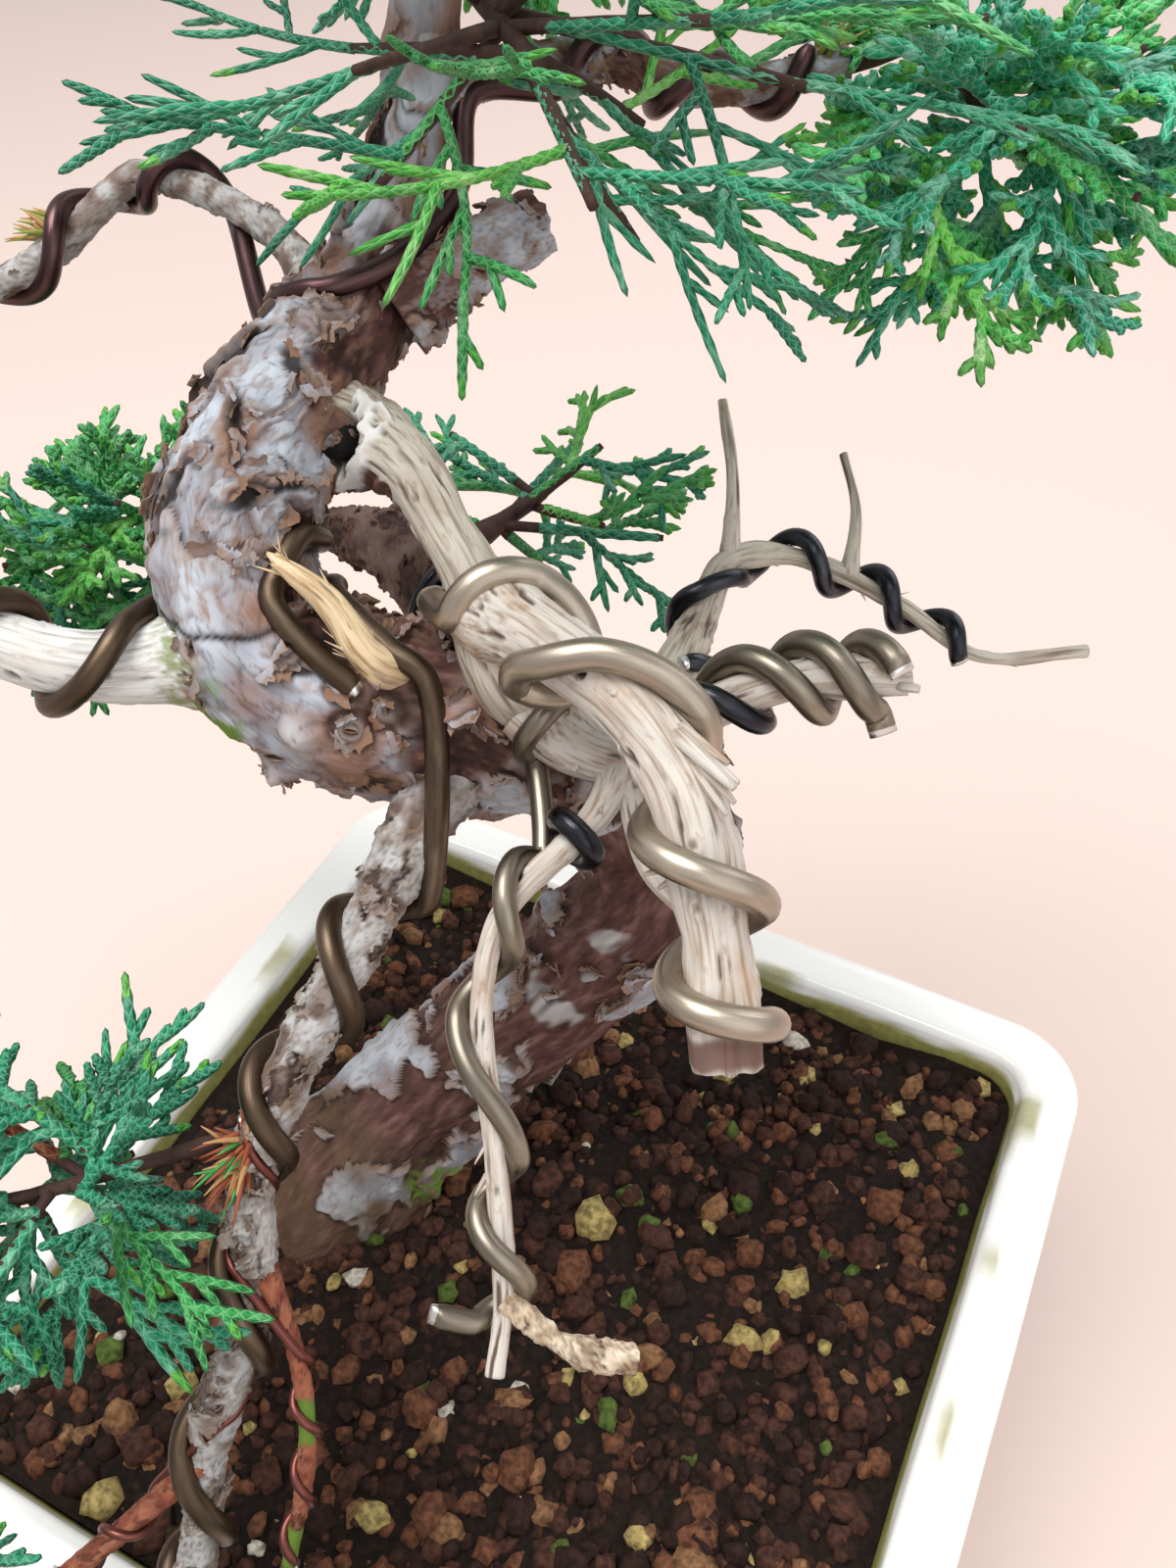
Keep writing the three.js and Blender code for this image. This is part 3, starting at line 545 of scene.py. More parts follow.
def plates(grain, size, depth, seed, missing=MISSING_PLATES, scaly=1.0):
    """A cell's height is its level's, and it steps to its neighbour's within a short gap. The higher side
    of a step curls up as a rim, and the lower side is painted dark as shadow. A few small scales lie on the
    sheets, with painted shadow round them. Smooth noise bends the borders, swells the limb and wrinkles it."""
    size = np.array(size, float)
    bend = np.stack([noise(grain, size[0] * 0.6, seed + 11 + axis) for axis in range(3)], -1)
    fray = np.stack([noise(grain, size[0] * 0.16, seed + 21 + axis) for axis in range(3)], -1)
    warped = grain + bend * size[0] * 0.45 + fray * size[0] * 0.11
    _, gap, owner, other = cells(warped, size, seed)
    _, small_gap, small_owner, _ = cells(warped + bend * size[0] * 0.2, size * 0.36, seed + 50)
    here, there = (fade(number, missing, missing + 0.02) * (0.35 + 0.325 * np.floor(2.999 * number))
                   for number in (owner, other))
    step = 0.5 * fade(gap, 0.0, 0.1)
    above = np.clip(1.6 * (here - there), 0, 1)
    below = np.clip(1.6 * (there - here), 0, 1)
    curled = fade(noise(grain, size[0] * 0.3, seed + 8), -0.6, 0.4)
    curl = np.exp(-((gap - 0.13) / 0.09) ** 2) * above * curled
    scale = scaly * fade(small_owner, 0.52, 0.54) * fade(small_gap, 0.02, 0.16)
    wrinkle = 0.6 * noise(grain, (0.8, 0.8, 1.9), seed + 5) + 0.4 * noise(grain, (0.45, 0.45, 0.8), seed + 9)
    swell = noise(grain, size[2] * 0.6, seed + 6) + 0.5 * noise(grain, size[0] * 0.45, seed + 10)
    height = depth * (here * (0.5 + step) + there * (0.5 - step) + 0.75 * curl + (0.5 - 0.25 * here) * scale)
    height = height + depth * (0.12 + 0.18 * (here < 0.2)) * wrinkle + 0.7 * depth * swell
    tone = np.clip(0.5 + 0.3 * (owner - 0.5) + 0.6 * noise(grain, size[0] * 0.6, seed + 7), 0, 1)
    torn = np.exp(-gap / 0.12) * above + 0.7 * scaly * (small_owner > 0.52) * np.exp(-small_gap / 0.12)
    # Painted shadow: the lower side of each step and the ground round each small scale are darkened.
    shadow = np.exp(-gap / 0.1) * below + 0.6 * scaly * (small_owner < 0.52) * np.exp(-small_gap / 0.05)
    plate = np.maximum(fade(here, 0, 0.3), 0.4 * scale)
    masks = {"plate": plate, "tone": tone, "crack_and_painted_shade": np.clip(shadow, 0, 1), "rim": np.clip(torn, 0, 1)}
    return height, masks


def bark_of(size, depth, seed, missing=MISSING_PLATES):
    """The relief of a bough: plates alone."""
    return lambda grain, share, angle, radius: plates(grain, size, depth, seed, missing)


scattered = np.random.default_rng(2).uniform(-30, 30, (2000, 3))
print("plates cover", round(plates(scattered, (9, 9, 17), 0.8, 3)[1]["plate"].mean(), 2), "of the trunk")

# %% [markdown]
# ## Marks of the trunk's life
#
# The photograph shows marks that belong to this one trunk: a black hollow where the dead arch leaves it,
# whose inside is painted black as shade, ringed knots where twigs were cut, a knob, a crack straight across
# a plate, moss in the crook of the left jin, and whitish bare patches low down. Each is placed by its share
# of the trunk's length and its angle from the front, and then has its width in mm and its strength. Ten
# tears, where one sheet of bark stands off the next, follow.

# %% The trunk's own marks
HOLLOW, KNOT, KNOB, BARE_PATCH, MOSS, FRAYED, STAIN = range(7)
TRUNK_MARKS = [
    (HOLLOW, 0.716, 95, 4.4, 3.0), (HOLLOW, 0.618, 74, 4.0, 3.0), (HOLLOW, 0.606, 20, 1.6, 1.6),
    (KNOT, 0.582, -20, 2.0, 2.2), (KNOT, 0.59, 2, 1.8, 2.0), (KNOT, 0.572, -4, 2.1, 2.2),
    (KNOT, 0.551, -51, 1.6, 1.8), (KNOT, 0.69, -20, 1.4, 1.2), (KNOT, 0.71, -48, 1.4, 1.2),
    (KNOB, 0.597, -84, 1.5, 2.6), (KNOB, 0.598, -36, 1.7, 1.6), (KNOB, 0.43, 60, 2.4, 1.6),
    (KNOB, 0.3, -80, 2.6, 1.5), (KNOB, 0.52, -120, 1.8, 1.6), (KNOB, 0.66, 150, 2.2, 1.4),
    (BARE_PATCH, 0.345, -12, 3.0, 0.5), (BARE_PATCH, 0.275, 0, 5.5, 0.5), (BARE_PATCH, 0.45, 170, 6.0, 0.5),
    (BARE_PATCH, 0.2, 150, 5.0, 0.4), (MOSS, 0.626, -80, 5.0, 0.3), (MOSS, 0.1, 60, 5.0, 0.2),
    (MOSS, 0.08, -120, 6.0, 0.2), (FRAYED, 0.672, 72, 4.6, 0.7), (FRAYED, 0.6, 40, 6.5, 0.9),
    (FRAYED, 0.565, 20, 6.0, 0.7), (FRAYED, 0.545, -30, 5.0, 0.6), (FRAYED, 0.8, 40, 6.0, 0.5),
    (FRAYED, 0.752, 42, 5.0, 0.6), (FRAYED, 0.635, 38, 3.0, 0.8),
    (STAIN, 0.565, -30, 11.0, 0.3), (STAIN, 0.63, 25, 6.0, 0.25), (STAIN, 0.775, 40, 7.0, 0.2),
    (STAIN, 0.695, -10, 9.0, -0.25), (STAIN, 0.86, 0, 18.0, -0.22),
]
# Where a sheet has torn: the share and degrees of the tear's two ends and how far the torn edge stands up
# in mm. The raised sheet lies on the right hand of the way from the first end to the second.
TEARS = [
    (0.684, 2, 0.714, -14, 1.0), (0.706, -78, 0.745, -42, 1.0), (0.676, 4, 0.712, 88, 1.3),
    (0.617, -14, 0.6, 24, 0.8), (0.634, -92, 0.6, -62, 0.9), (0.664, -62, 0.69, -30, 0.6),
    (0.74, -10, 0.728, 40, 0.9), (0.77, 10, 0.76, -50, 0.9), (0.655, 30, 0.668, 72, 0.8),
    (0.8, -52, 0.87, -48, 0.9),
]
CRACK_SHARES = (0.647, 0.615)
CRACK_DEGREES = (-78, 50)
FLARE_HEIGHT, FLARE_SHARE, ROOT_LOBES, LOBE_SHARE = 9, 0.3, 5, 0.14
LOW_MISSING = 0.72
SUNNY_SIDE, SHADED_SIDE = np.radians((-40, 75))


def root_flare(centre, angle):
    """The foot widens into lobes by a share that dies away with the height above the soil."""
    share = np.exp(-np.maximum(centre[..., 2] - SOIL_TOP, 0) / FLARE_HEIGHT)
    return 1 + share * (FLARE_SHARE + LOBE_SHARE * np.cos(ROOT_LOBES * angle))


def tear(grain, share, angle, radius, ends):
    """The offset across the tear's line is (b × p) / |b|, made ragged by noise. The raised edge sinks back
    within 3 mm, its last half millimetre is a rim, and the other side is painted dark as shadow."""
    low, low_turn, high, high_turn, lift = ends
    length = PATHS["trunk"].length
    p = (share - low) * length, wrapped(angle - np.radians(low_turn)) * radius
    b = (high - low) * length, np.radians(high_turn - low_turn) * radius
    squared = b[0] ** 2 + b[1] ** 2
    way = (p[0] * b[0] + p[1] * b[1]) / squared
    inside = fade(way, -0.12, 0.12) * fade(-way, -1.12, -0.88)
    ragged = 0.9 * noise(grain, 2.4, 90) + 0.4 * noise(grain, 0.9, 91)
    off = (b[1] * p[0] - b[0] * p[1]) / np.sqrt(squared) + ragged
    edge = fade(off, -0.1, 0.15) * np.exp(-np.maximum(off, 0) / 1.6)
    height = lift * inside * (edge - 0.5 * np.exp(-((off + 0.7) / 0.8) ** 2))
    return height, inside * np.exp(-(((off - 0.3) / 0.35) ** 2)), inside * np.exp(-(((off + 0.6) / 0.7) ** 4))


def raise_mask(masks, name, values):
    """A mask keeps the stronger of what it had and the new values."""
    masks[name] = np.maximum(masks[name], values)


def trunk_relief(grain, share, angle, radius):
    """Plates, and then each mark as a bump or a dent whose strength falls off with the distance d from it."""
    shaded = fade(np.cos(angle - SHADED_SIDE), 0.1, 0.8) * fade(share, 0.5, 0.56)
    whole = fade(share, 0.64, 0.67) * fade(-share, -0.755, -0.725)
    calm = fade(share, 0.785, 0.815)
    missing = LOW_MISSING * (1 - fade(share, 0.42, 0.64)) + 0.4 * shaded * (1 - whole) * (1 - calm)
    scaly = fade(share, 0.42, 0.56) * (1 - calm)
    height, masks = plates(grain, (8, 8, 13), 1 - 0.55 * calm, 3, missing, scaly)
    # Painted light: the plates' tone is raised on the sunny side, where the light falls, and lowered on the
    # side away from it.
    masks["tone"] = np.clip(masks["tone"] + 0.14 * np.cos(angle - SUNNY_SIDE), 0, 1)
    length = PATHS["trunk"].length
    zero = np.zeros(share.shape)
    masks.update({"hollow": zero, "bare": zero, "moss": zero, "ring": zero})
    speckle = noise(grain, 6, 46) + 0.6 * noise(grain, 2.2, 49)
    masks["earthy"] = 0.8 * fade(-share + 0.08 * speckle, -0.26, 0.04)
    wander = 0.25 * noise(grain, 2.5, 41)
    for kind, place, degrees, size, depth in TRUNK_MARKS:
        turn = wrapped(angle - np.radians(degrees))
        d = np.hypot((share - place) * length, turn * radius) / size + wander
        near = np.exp(-(d ** 2))
        if kind == HOLLOW:
            inside = fade(-d, -1.0, -0.7)
            height = height - depth * np.exp(-(d ** 4)) + 0.5 * np.exp(-((d - 1.15) / 0.22) ** 2)
            # The hollow's inside is painted black as shade.
            raise_mask(masks, "hollow", inside)
        if kind == KNOT:
            ripple = -np.cos(np.clip(d, 0, 1.4) * 2.2 * np.pi)
            height = height * (1 - near) + depth * (0.45 * near + 0.45 * ripple * near)
            raise_mask(masks, "ring", np.sqrt(near) * (0.5 - 0.5 * ripple))
            raise_mask(masks, "bare", 0.25 * near * (0.5 + 0.5 * ripple))
            masks["rim"] = masks["rim"] * (1 - near)
        if kind == KNOB:
            height = height + depth * near
            raise_mask(masks, "bare", 0.7 * near)
        if kind == BARE_PATCH:
            torn = 0.5 * noise(grain, (2.2, 2.2, 6), 42) + 0.35 * noise(grain, (0.9, 0.9, 2.5), 39)
            inside = fade(-d + torn, -0.9, -0.5)
            height = height * (1 - 0.7 * inside)
            streak = 0.55 + 0.45 * noise(grain, (0.9, 0.9, 4.5), 40)
            raise_mask(masks, "bare", inside * streak)
        if kind == MOSS:
            cushion = near * fade(noise(grain, 1.0, 43), -0.4, 0.3)
            height = height + depth * cushion
            raise_mask(masks, "moss", fade(cushion, 0.15, 0.6))
        if kind == FRAYED:
            inside = fade(-d, -1.1, -0.6)
            crust = noise(grain, (0.9, 0.9, 1.7), 44) + 0.6 * noise(grain, 0.55, 47) + noise(grain, 2.6, 48)
            height = height * (1 - inside) + inside * (0.34 * crust - 0.2 * depth)
            masks["plate"] = masks["plate"] * (1 - inside)
            # Painted shade: the low places of the frayed crust are darkened.
            masks["crack_and_painted_shade"] = masks["crack_and_painted_shade"] * (1 - inside) + 0.75 * inside * fade(-crust, -0.2, 0.7)
            masks["rim"] = masks["rim"] * (1 - inside) + 0.6 * inside * fade(crust, 0.4, 1.2)
        if kind == STAIN:
            masks["tone"] = masks["tone"] - depth * near
    for ends in TEARS:
        lift, rim, shadow = tear(grain, share, angle, radius, ends)
        height = height + lift
        raise_mask(masks, "rim", rim)
        # Painted shadow: the low side of each tear is darkened.
        raise_mask(masks, "crack_and_painted_shade", 0.95 * shadow)
    low, high = np.radians(CRACK_DEGREES)
    along_crack = (wrapped(angle) - low) / (high - low)
    line = CRACK_SHARES[0] + (CRACK_SHARES[1] - CRACK_SHARES[0]) * along_crack + 0.002 * noise(grain, 2, 45)
    cross = np.exp(-(((share - line) * length / 0.42) ** 2)) * (along_crack > 0) * (along_crack < 1)
    height = height - 0.3 * cross
    raise_mask(masks, "crack_and_painted_shade", cross)
    # Painted shade: every place that lies low in the relief is darkened, except bare wood.
    raise_mask(masks, "crack_and_painted_shade", 0.8 * fade(-height, 0.35, 1.1) * (1 - masks["bare"]))
    masks["bare"] = masks["bare"] * (1 - masks["hollow"])
    return height, masks


def ground_start(sides):
    """For each angle the length at which the trunk's side comes up through the soil."""
    s = np.linspace(0, 60, 400)[:, None]
    angle = np.broadcast_to(np.arange(sides) * FULL_TURN / sides, (400, sides))
    centre, _, radius = PATHS["trunk"].at(np.broadcast_to(s, angle.shape))
    out = PATHS["trunk"].round(np.broadcast_to(s, angle.shape), angle)
    height = centre[..., 2] + out[..., 2] * radius * root_flare(centre, angle)
    return s[np.argmax(height > SOIL_TOP - 1, axis=0), 0]


print("the trunk's sides come up", ground_start(12).round(1), "mm along it")

# %% [markdown]
# ## The bark's material
#
# Real bark is dry and nearly matte. The masks from the relief choose the colour: plates run from pinkish
# brown to lilac grey by their tone, underbark is purple-brown and fibrous, and rims are tan where they fray.
# Cracks are nearly black, and so is the painted shade: the shadow below rims and tears, the low places of
# the relief and the insides of hollows. A fine bump along the grain gives the fibres that are too thin for
# the mesh.

# %% Flaking juniper bark
COLOR_A, COLOR_B = 6, 7


def overlay(tree, colour, layers):
    """Lays colours over the first, one by one. A layer is a share from 0 to 1 and a colour. The share is a
    node, or the name of a mask that the relief left on the mesh."""
    for share, above in layers:
        if isinstance(share, str):
            share = add(tree, "Attribute", attribute_name=share).outputs["Fac"]
        if isinstance(above, str):
            above = linear(above)
        colour = add(tree, "Mix", {0: share, COLOR_A: colour, COLOR_B: above}, data_type="RGBA")
    return colour


def grain_pattern(tree, across, along, detail=3.0):
    """Noise in the limb's own coordinates, across mm wide and along mm long."""
    grain = add(tree, "Attribute", attribute_name="grain").outputs["Vector"]
    scale = Vector((1 / across, 1 / across, 1 / along)) / MM
    place = add(tree, "Mapping", {"Vector": grain, "Scale": scale})
    return add(tree, "TexNoise", {"Vector": place, "Scale": 1.0, "Detail": detail})


# The crack layer holds real cracks and painted shadow and shade; the hollow layer paints the inside of each
# hollow black as shade.
BARK_LAYERS = (("bare", "#c3c2c2"), ("ring", "#38211b"), ("crack_and_painted_shade", "#21140f"), ("hollow", "#130e0e"),
               ("moss", "#5f7a2c"))


def bark_material(name, plate_stops, under_stops, rim_code):
    """Dry bark: rough, with almost no gloss."""
    material, tree, shader = start_material(name, Roughness=0.78, Specular_IOR_Level=0.3)
    fine, patch = grain_pattern(tree, 0.35, 2.5), grain_pattern(tree, 4, 7)
    tone = add(tree, "Attribute", attribute_name="tone").outputs["Fac"]
    tone = add(tree, "Math", {0: tone, 1: 0.62}, operation="MULTIPLY")
    tone = add(tree, "Math", {0: patch, 1: 0.4, 2: tone}, operation="MULTIPLY_ADD")
    tone = add(tree, "Math", {0: fine, 1: 0.12, 2: tone}, operation="MULTIPLY_ADD")
    plate = add(tree, "ValToRGB", {"Fac": tone}, plate_stops)
    under = add(tree, "ValToRGB", {"Fac": grain_pattern(tree, 1.5, 5.0, detail=4.0)}, under_stops)
    fleck = grain_pattern(tree, 0.9, 2.0, detail=5.0)
    soiled = add(tree, "MapRange", {"Value": fleck, 1: 0.52, 2: 0.68, 4: 0.55})
    plate = overlay(tree, plate, [(soiled, rim_code)])
    rim = add(tree, "Attribute", attribute_name="rim").outputs["Fac"]
    worn = add(tree, "Math", {0: rim, 1: 0.85}, operation="MULTIPLY")
    earth = overlay(tree, linear("#2e2419"), [(patch, "#6c5539")])
    colour = overlay(tree, under, [("plate", plate), (worn, rim_code), ("earthy", earth), *BARK_LAYERS])
    bump = add(tree, "Bump", {"Height": fine, "Strength": 0.4, "Distance": 0.2 * MM})
    feed(tree, shader, {"Base Color": colour, "Normal": bump})
    return material


old_bark = bark_material(
    "flaking_juniper_bark",
    ((0.3, "#5c4239"), (0.42, "#836559"), (0.52, "#8f8284"), (0.63, "#9a9da6"), (0.82, "#b7bec8")),
    ((0.25, "#351e1c"), (0.5, "#573833"), (0.78, "#83625a")), "#86664d",
)
young_bark = bark_material(
    "young_juniper_bark",
    ((0.3, "#64544a"), (0.45, "#8b807b"), (0.62, "#b1b0b0")),
    ((0.3, "#2e1f1b"), (0.5, "#54433d"), (0.75, "#80716a")), "#76614f",
)
beige_bark = bark_material(
    "peeling_twig_bark",
    ((0.25, "#a48f78"), (0.5, "#c6b298"), (0.8, "#e0d2bc")),
    ((0.3, "#58432f"), (0.5, "#866b53"), (0.75, "#b0977c")), "#6d543f",
)
red_bark = bark_material(
    "red_twig_bark",
    ((0.25, "#5d291c"), (0.5, "#7a3d2b"), (0.8, "#97593f")),
    ((0.3, "#431d15"), (0.5, "#622e20"), (0.75, "#804835")), "#966650",
)
# Brown twig bark, made darker as painted shade for the rear bough, which lies in shade behind the trunk; the
# twigs wear it too.
brown_bark_and_painted_shade = bark_material(
    "brown_twig_bark_and_painted_shade",
    ((0.25, "#2d1d1b"), (0.5, "#49342f"), (0.8, "#6a5752")),
    ((0.3, "#1c100f"), (0.5, "#33201d"), (0.75, "#523b34")), "#64493a",
)
print("five barks: old, young, beige, red and brown")

# %% Put the bark on the trunk and the living boughs
SUNK_LENGTH = 3


def dress(name, sides, step, relief, material, slot, parent=None, **more):
    """Makes a limb's skin and replaces its plain solid. It starts 3 mm before it comes out of its parent."""
    if parent:
        leaves_at = exit_length(name, parent)
        more = {"start": max(leaves_at - SUNK_LENGTH, 0), "collar_at": leaves_at, **more}
    points, faces, masks = limb_skin(name, sides, step, relief, **more)
    return make_piece(name + "_wood", points, faces, [material], [name], masks=masks)


def green_twig(size, depth, seed, stretches):
    """Thin bark whose green living skin shows along a few stretches of shares."""
    def relief(grain, share, angle, radius):
        height, masks = plates(grain, size, depth, seed)
        living = np.zeros(share.shape)
        for low, high in stretches:
            inside = (share - low) * (high - share) / (high - low) ** 2 * 4
            living = np.maximum(living, fade(inside + 0.4 * noise(grain, (1.2, 1.2, 3), seed + 30), 0.1, 0.5))
        masks["moss"] = living
        return height * (1 - 0.6 * living), masks
    return relief


BOUGH_BARK = {
    "fork_stub": bark_of((3.4, 3.4, 7), 0.6, 50, 0.45), "low_bough": bark_of((3.2, 3.2, 5.5), 0.55, 51, 0.1),
    "left_bough": bark_of((2.6, 2.6, 4.5), 0.3, 52), "right_bough": bark_of((3, 3, 6), 0.35, 53),
    # Many of the rear bough's plates are missing, baring dark underbark that also serves as painted shade.
    "rear_bough": bark_of((5, 5, 9), 0.5, 54, 0.6),
}
dress("trunk", 220, 0.33, trunk_relief, old_bark, "bark", start=ground_start(220), swell=root_flare)
dress("fork_stub", 100, 0.36, BOUGH_BARK["fork_stub"], old_bark, "bark", "trunk", ragged=0.9)
for name, sides, step, material in (
    ("low_bough", 64, 0.36, young_bark), ("left_bough", 48, 0.4, young_bark),
    ("right_bough", 56, 0.4, old_bark), ("rear_bough", 110, 0.42, brown_bark_and_painted_shade),
):
    dress(name, sides, step, BOUGH_BARK[name], material, "bark", "trunk")
right_twig_bark = green_twig((1.6, 1.6, 4), 0.14, 55, [(0.42, 0.6), (0.86, 1.04)])
dress("low_twig_right", 28, 0.4, right_twig_bark, red_bark, "bark", "low_bough")
dress("low_twig_left", 32, 0.4, bark_of((1.8, 1.8, 4), 0.16, 56), red_bark, "bark", "low_bough")

# %% [markdown]
# ## Loose flakes of bark
#
# Where a plate lets go, it curls away from the limb and its torn edge catches the light. Each flake is a
# small bent sheet with its own thickness. They are computed all together: one array holds every flake's
# grid, and each flake is set on the limb's surface along its own pair of directions.

# %% A scatter of curled flakes
FLAKE_GRID = 5
FLAKE_THICK = 0.16
CANDIDATES = 14
SLOPE_REACH = 0.25


def steepest_places(path, relief, count, span, rng):
    """Of many chance places, the steepest of the bark, with the way down there. The slope is the change of
    the relief over the half millimetre about the place, along the limb and round it."""
    s = rng.uniform(*span, count * CANDIDATES) * path.length
    angle = rng.uniform(0, FULL_TURN, count * CANDIDATES)
    radius = path.at(s)[2]

    def high(s, angle):
        grain = np.stack([radius * np.cos(angle), radius * np.sin(angle), s], -1)
        return relief(grain, s / path.length, angle, radius)[0]

    rise = high(s + SLOPE_REACH, angle) - high(s - SLOPE_REACH, angle)
    turn = high(s, angle + SLOPE_REACH / radius) - high(s, angle - SLOPE_REACH / radius)
    best = np.argsort(-np.hypot(rise, turn))[:count]
    way = np.stack([-rise, -turn], -1)[best]
    return s[best], angle[best], unit_rows(way), high(s, angle)[best]


def flakes(name, relief, count, span, sizes, seed, material):
    """A flake's point is base + across · p + along · q + out · lift, where the lift grows with the square of
    the distance from the flake's fixed edge. Its under side is the same grid, moved in by the thickness."""
    path = PATHS[name]
    rng = np.random.default_rng(seed)
    s, angle, way, height = steepest_places(path, relief, count, span, rng)
    _, along, radius = path.at(s)
    out = path.round(s, angle)
    round_limb = np.cross(along, out)
    free = way[:, :1] * along + way[:, 1:] * round_limb
    hinge = np.cross(free, out)
    width = rng.uniform(*sizes, count)
    length = width * rng.uniform(0.25, 0.6, count)
    base = path.at(s)[0] + out * (radius + height)[:, None] - free * 0.4 * length[:, None]
    curl = rng.uniform(0.2, 0.9, count) * length
    p, q = np.meshgrid(np.linspace(-1, 1, FLAKE_GRID), np.linspace(0, 1, FLAKE_GRID))
    wobble = rng.uniform(-0.25, 0.25, (count, FLAKE_GRID, FLAKE_GRID))
    side = p * (1 - 0.35 * q**2 + wobble * q) * width[:, None, None] / 2
    reach = (q + wobble * q) * length[:, None, None]
    lift = curl[:, None, None] * (q**2 + 0.25 * wobble * q) - (side**2) / (2 * radius[:, None, None] + 2)
    top = base[:, None, None] + hinge[:, None, None] * side[..., None]
    top = top + free[:, None, None] * reach[..., None]
    top = top + out[:, None, None] * lift[..., None]
    under = top - out[:, None, None] * FLAKE_THICK
    grid = np.arange(FLAKE_GRID**2).reshape(FLAKE_GRID, FLAKE_GRID)
    low, right = grid[:-1, :-1].ravel(), grid[:-1, 1:].ravel()
    far, left = grid[1:, 1:].ravel(), grid[1:, :-1].ravel()
    upper = np.stack([low, left, far, right], -1)
    edge = np.concatenate([grid[0, :-1], grid[:-1, -1], grid[-1, :0:-1], grid[:0:-1, 0]])
    after = np.roll(edge, -1)
    lower = upper[:, ::-1] + FLAKE_GRID**2
    rim = np.stack([edge, after, after + FLAKE_GRID**2, edge + FLAKE_GRID**2], -1)
    one = np.vstack([upper, lower, rim])
    points = np.stack([top, under], 1).reshape(-1, 3)
    each = 2 * FLAKE_GRID**2
    faces = copied_faces(one, count, each)
    tone = np.repeat(rng.uniform(0.2, 0.8, count), each)
    edge_mask = np.tile(np.concatenate([q.ravel(), 0.6 + 0.4 * q.ravel()]), count)
    masks = {"plate": np.ones(len(points)), "tone": tone, "rim": edge_mask, "grain": points * MM}
    return make_piece(f"{name}_flakes", points, faces, [material], masks=masks, smooth=False)


flakes("trunk", trunk_relief, 1300, (0.24, 0.97), (1.0, 3.4), 61, old_bark)
for seed, (name, (count, sizes, material)) in enumerate({
    "low_bough": (320, (0.8, 2.2), young_bark), "left_bough": (60, (0.7, 1.6), young_bark),
    "right_bough": (70, (0.8, 2.0), old_bark), "fork_stub": (70, (1.2, 3.0), old_bark),
    "rear_bough": (60, (1.0, 2.4), brown_bark_and_painted_shade),
}.items(), 62):
    flakes(name, BOUGH_BARK[name], count, (0.15, 0.97), sizes, seed, material)

# %% [markdown]
# ## Dead wood
#
# A jin is a dead limb that is stripped of its bark and left to weather. The bare wood bleaches to cream,
# dries into long ridges with dark checks between them, keeps a pit where each twig was, and takes
# orange-brown stains near living wood. Its cut ends are flat, and broken ones are torn into splinters.

# %% The relief of weathered wood
PIT_RARE = 0.83
HOLLOW_SHARE, HOLLOW_LENGTH, HOLLOW_TURN, HOLLOW_WIDTH = 0.118, 0.085, np.radians(22), 4.8


def weathered(depth, seed, square=0.0):
    """Ridges and checks are noise drawn out along the grain, and pits are the middles of a few cells. The end
    of a sawn limb may be squared off: there the radius grows as 1 / max(|cos|, |sin|)."""
    def relief(grain, share, angle, radius):
        swirl = grain + 0.5 * np.stack([noise(grain, (3, 3, 8), seed + 6 + axis) for axis in range(3)], -1)
        ridge = noise(swirl, (1.5, 1.5, 12), seed)
        fibre = noise(swirl, (0.42, 0.42, 6), seed + 1)
        check = fade(noise(swirl, (0.5, 0.5, 7), seed + 2) + 0.3 * noise(grain, 5, seed + 10), 0.62, 0.82)
        lump = noise(grain, (4, 4, 6), seed + 3) + 0.4 * noise(grain, (1.8, 1.8, 2.6), seed + 5)
        middle, _, owner, _ = cells(grain, (2.6, 2.6, 3.6), seed + 4)
        pit = fade(-middle, -0.28, -0.14) * (owner > PIT_RARE)
        collar = fade(-middle, -0.5, -0.28) * (owner > PIT_RARE) - pit
        height = depth * (0.16 * ridge + 0.1 * fibre + 1.1 * lump - 0.9 * check - 2.4 * pit + 0.8 * collar)
        corner = 1 / np.maximum(np.abs(np.cos(angle)), np.abs(np.sin(angle))) - 1
        height = height + square * radius * np.minimum(corner, 0.25) * fade(share, 0.8, 0.92)
        cut = share + 0.01 * noise(grain, 2, seed + 9)
        stub = min(square, 1) * fade(cut, 0.93, 0.95) * fade(-cut, -0.997, -0.985)
        masks = {"check": np.maximum(check, 0.35 * fade(fibre, 0.4, 0.8)), "pit": pit, "stub": stub}
        return height, masks
    return relief


def hollow_arch(grain, share, angle, radius):
    """The arch's root is a black hollow in the photograph, whose inside is painted black as shade, with white
    torn chips along its far side and a brown crust of the trunk's bark below."""
    height, masks = weathered(0.34, 70)(grain, share, angle, radius)
    turn = wrapped(angle - HOLLOW_TURN)
    d = np.hypot((share - HOLLOW_SHARE) / HOLLOW_LENGTH, turn * radius / HOLLOW_WIDTH)
    d = d + 0.2 * noise(grain, 1.3, 85)
    inside = fade(-d, -1.0, -0.8)
    scattered_chips = fade(noise(grain, 1.4, 86), -0.35, -0.1)
    chips = fade(-d, -1.6, -1.4) * (share > HOLLOW_SHARE) * scattered_chips * (1 - inside)
    ragged = 0.3 * noise(grain, 1.6, 87)
    below = fade(np.cos(turn - 1.8) + ragged - 1.6 * share, 0.0, 0.2)
    crust = below * (1 - inside) * (1 - chips)
    torn = noise(grain, 0.8, 88) + 0.6 * noise(grain, 2.2, 89)
    # The arch's hollow is painted black inside as shade.
    masks.update(hollow=inside, chip=chips, stub=crust)
    return height - 2.0 * inside + 0.6 * chips + 0.6 * crust * torn, masks


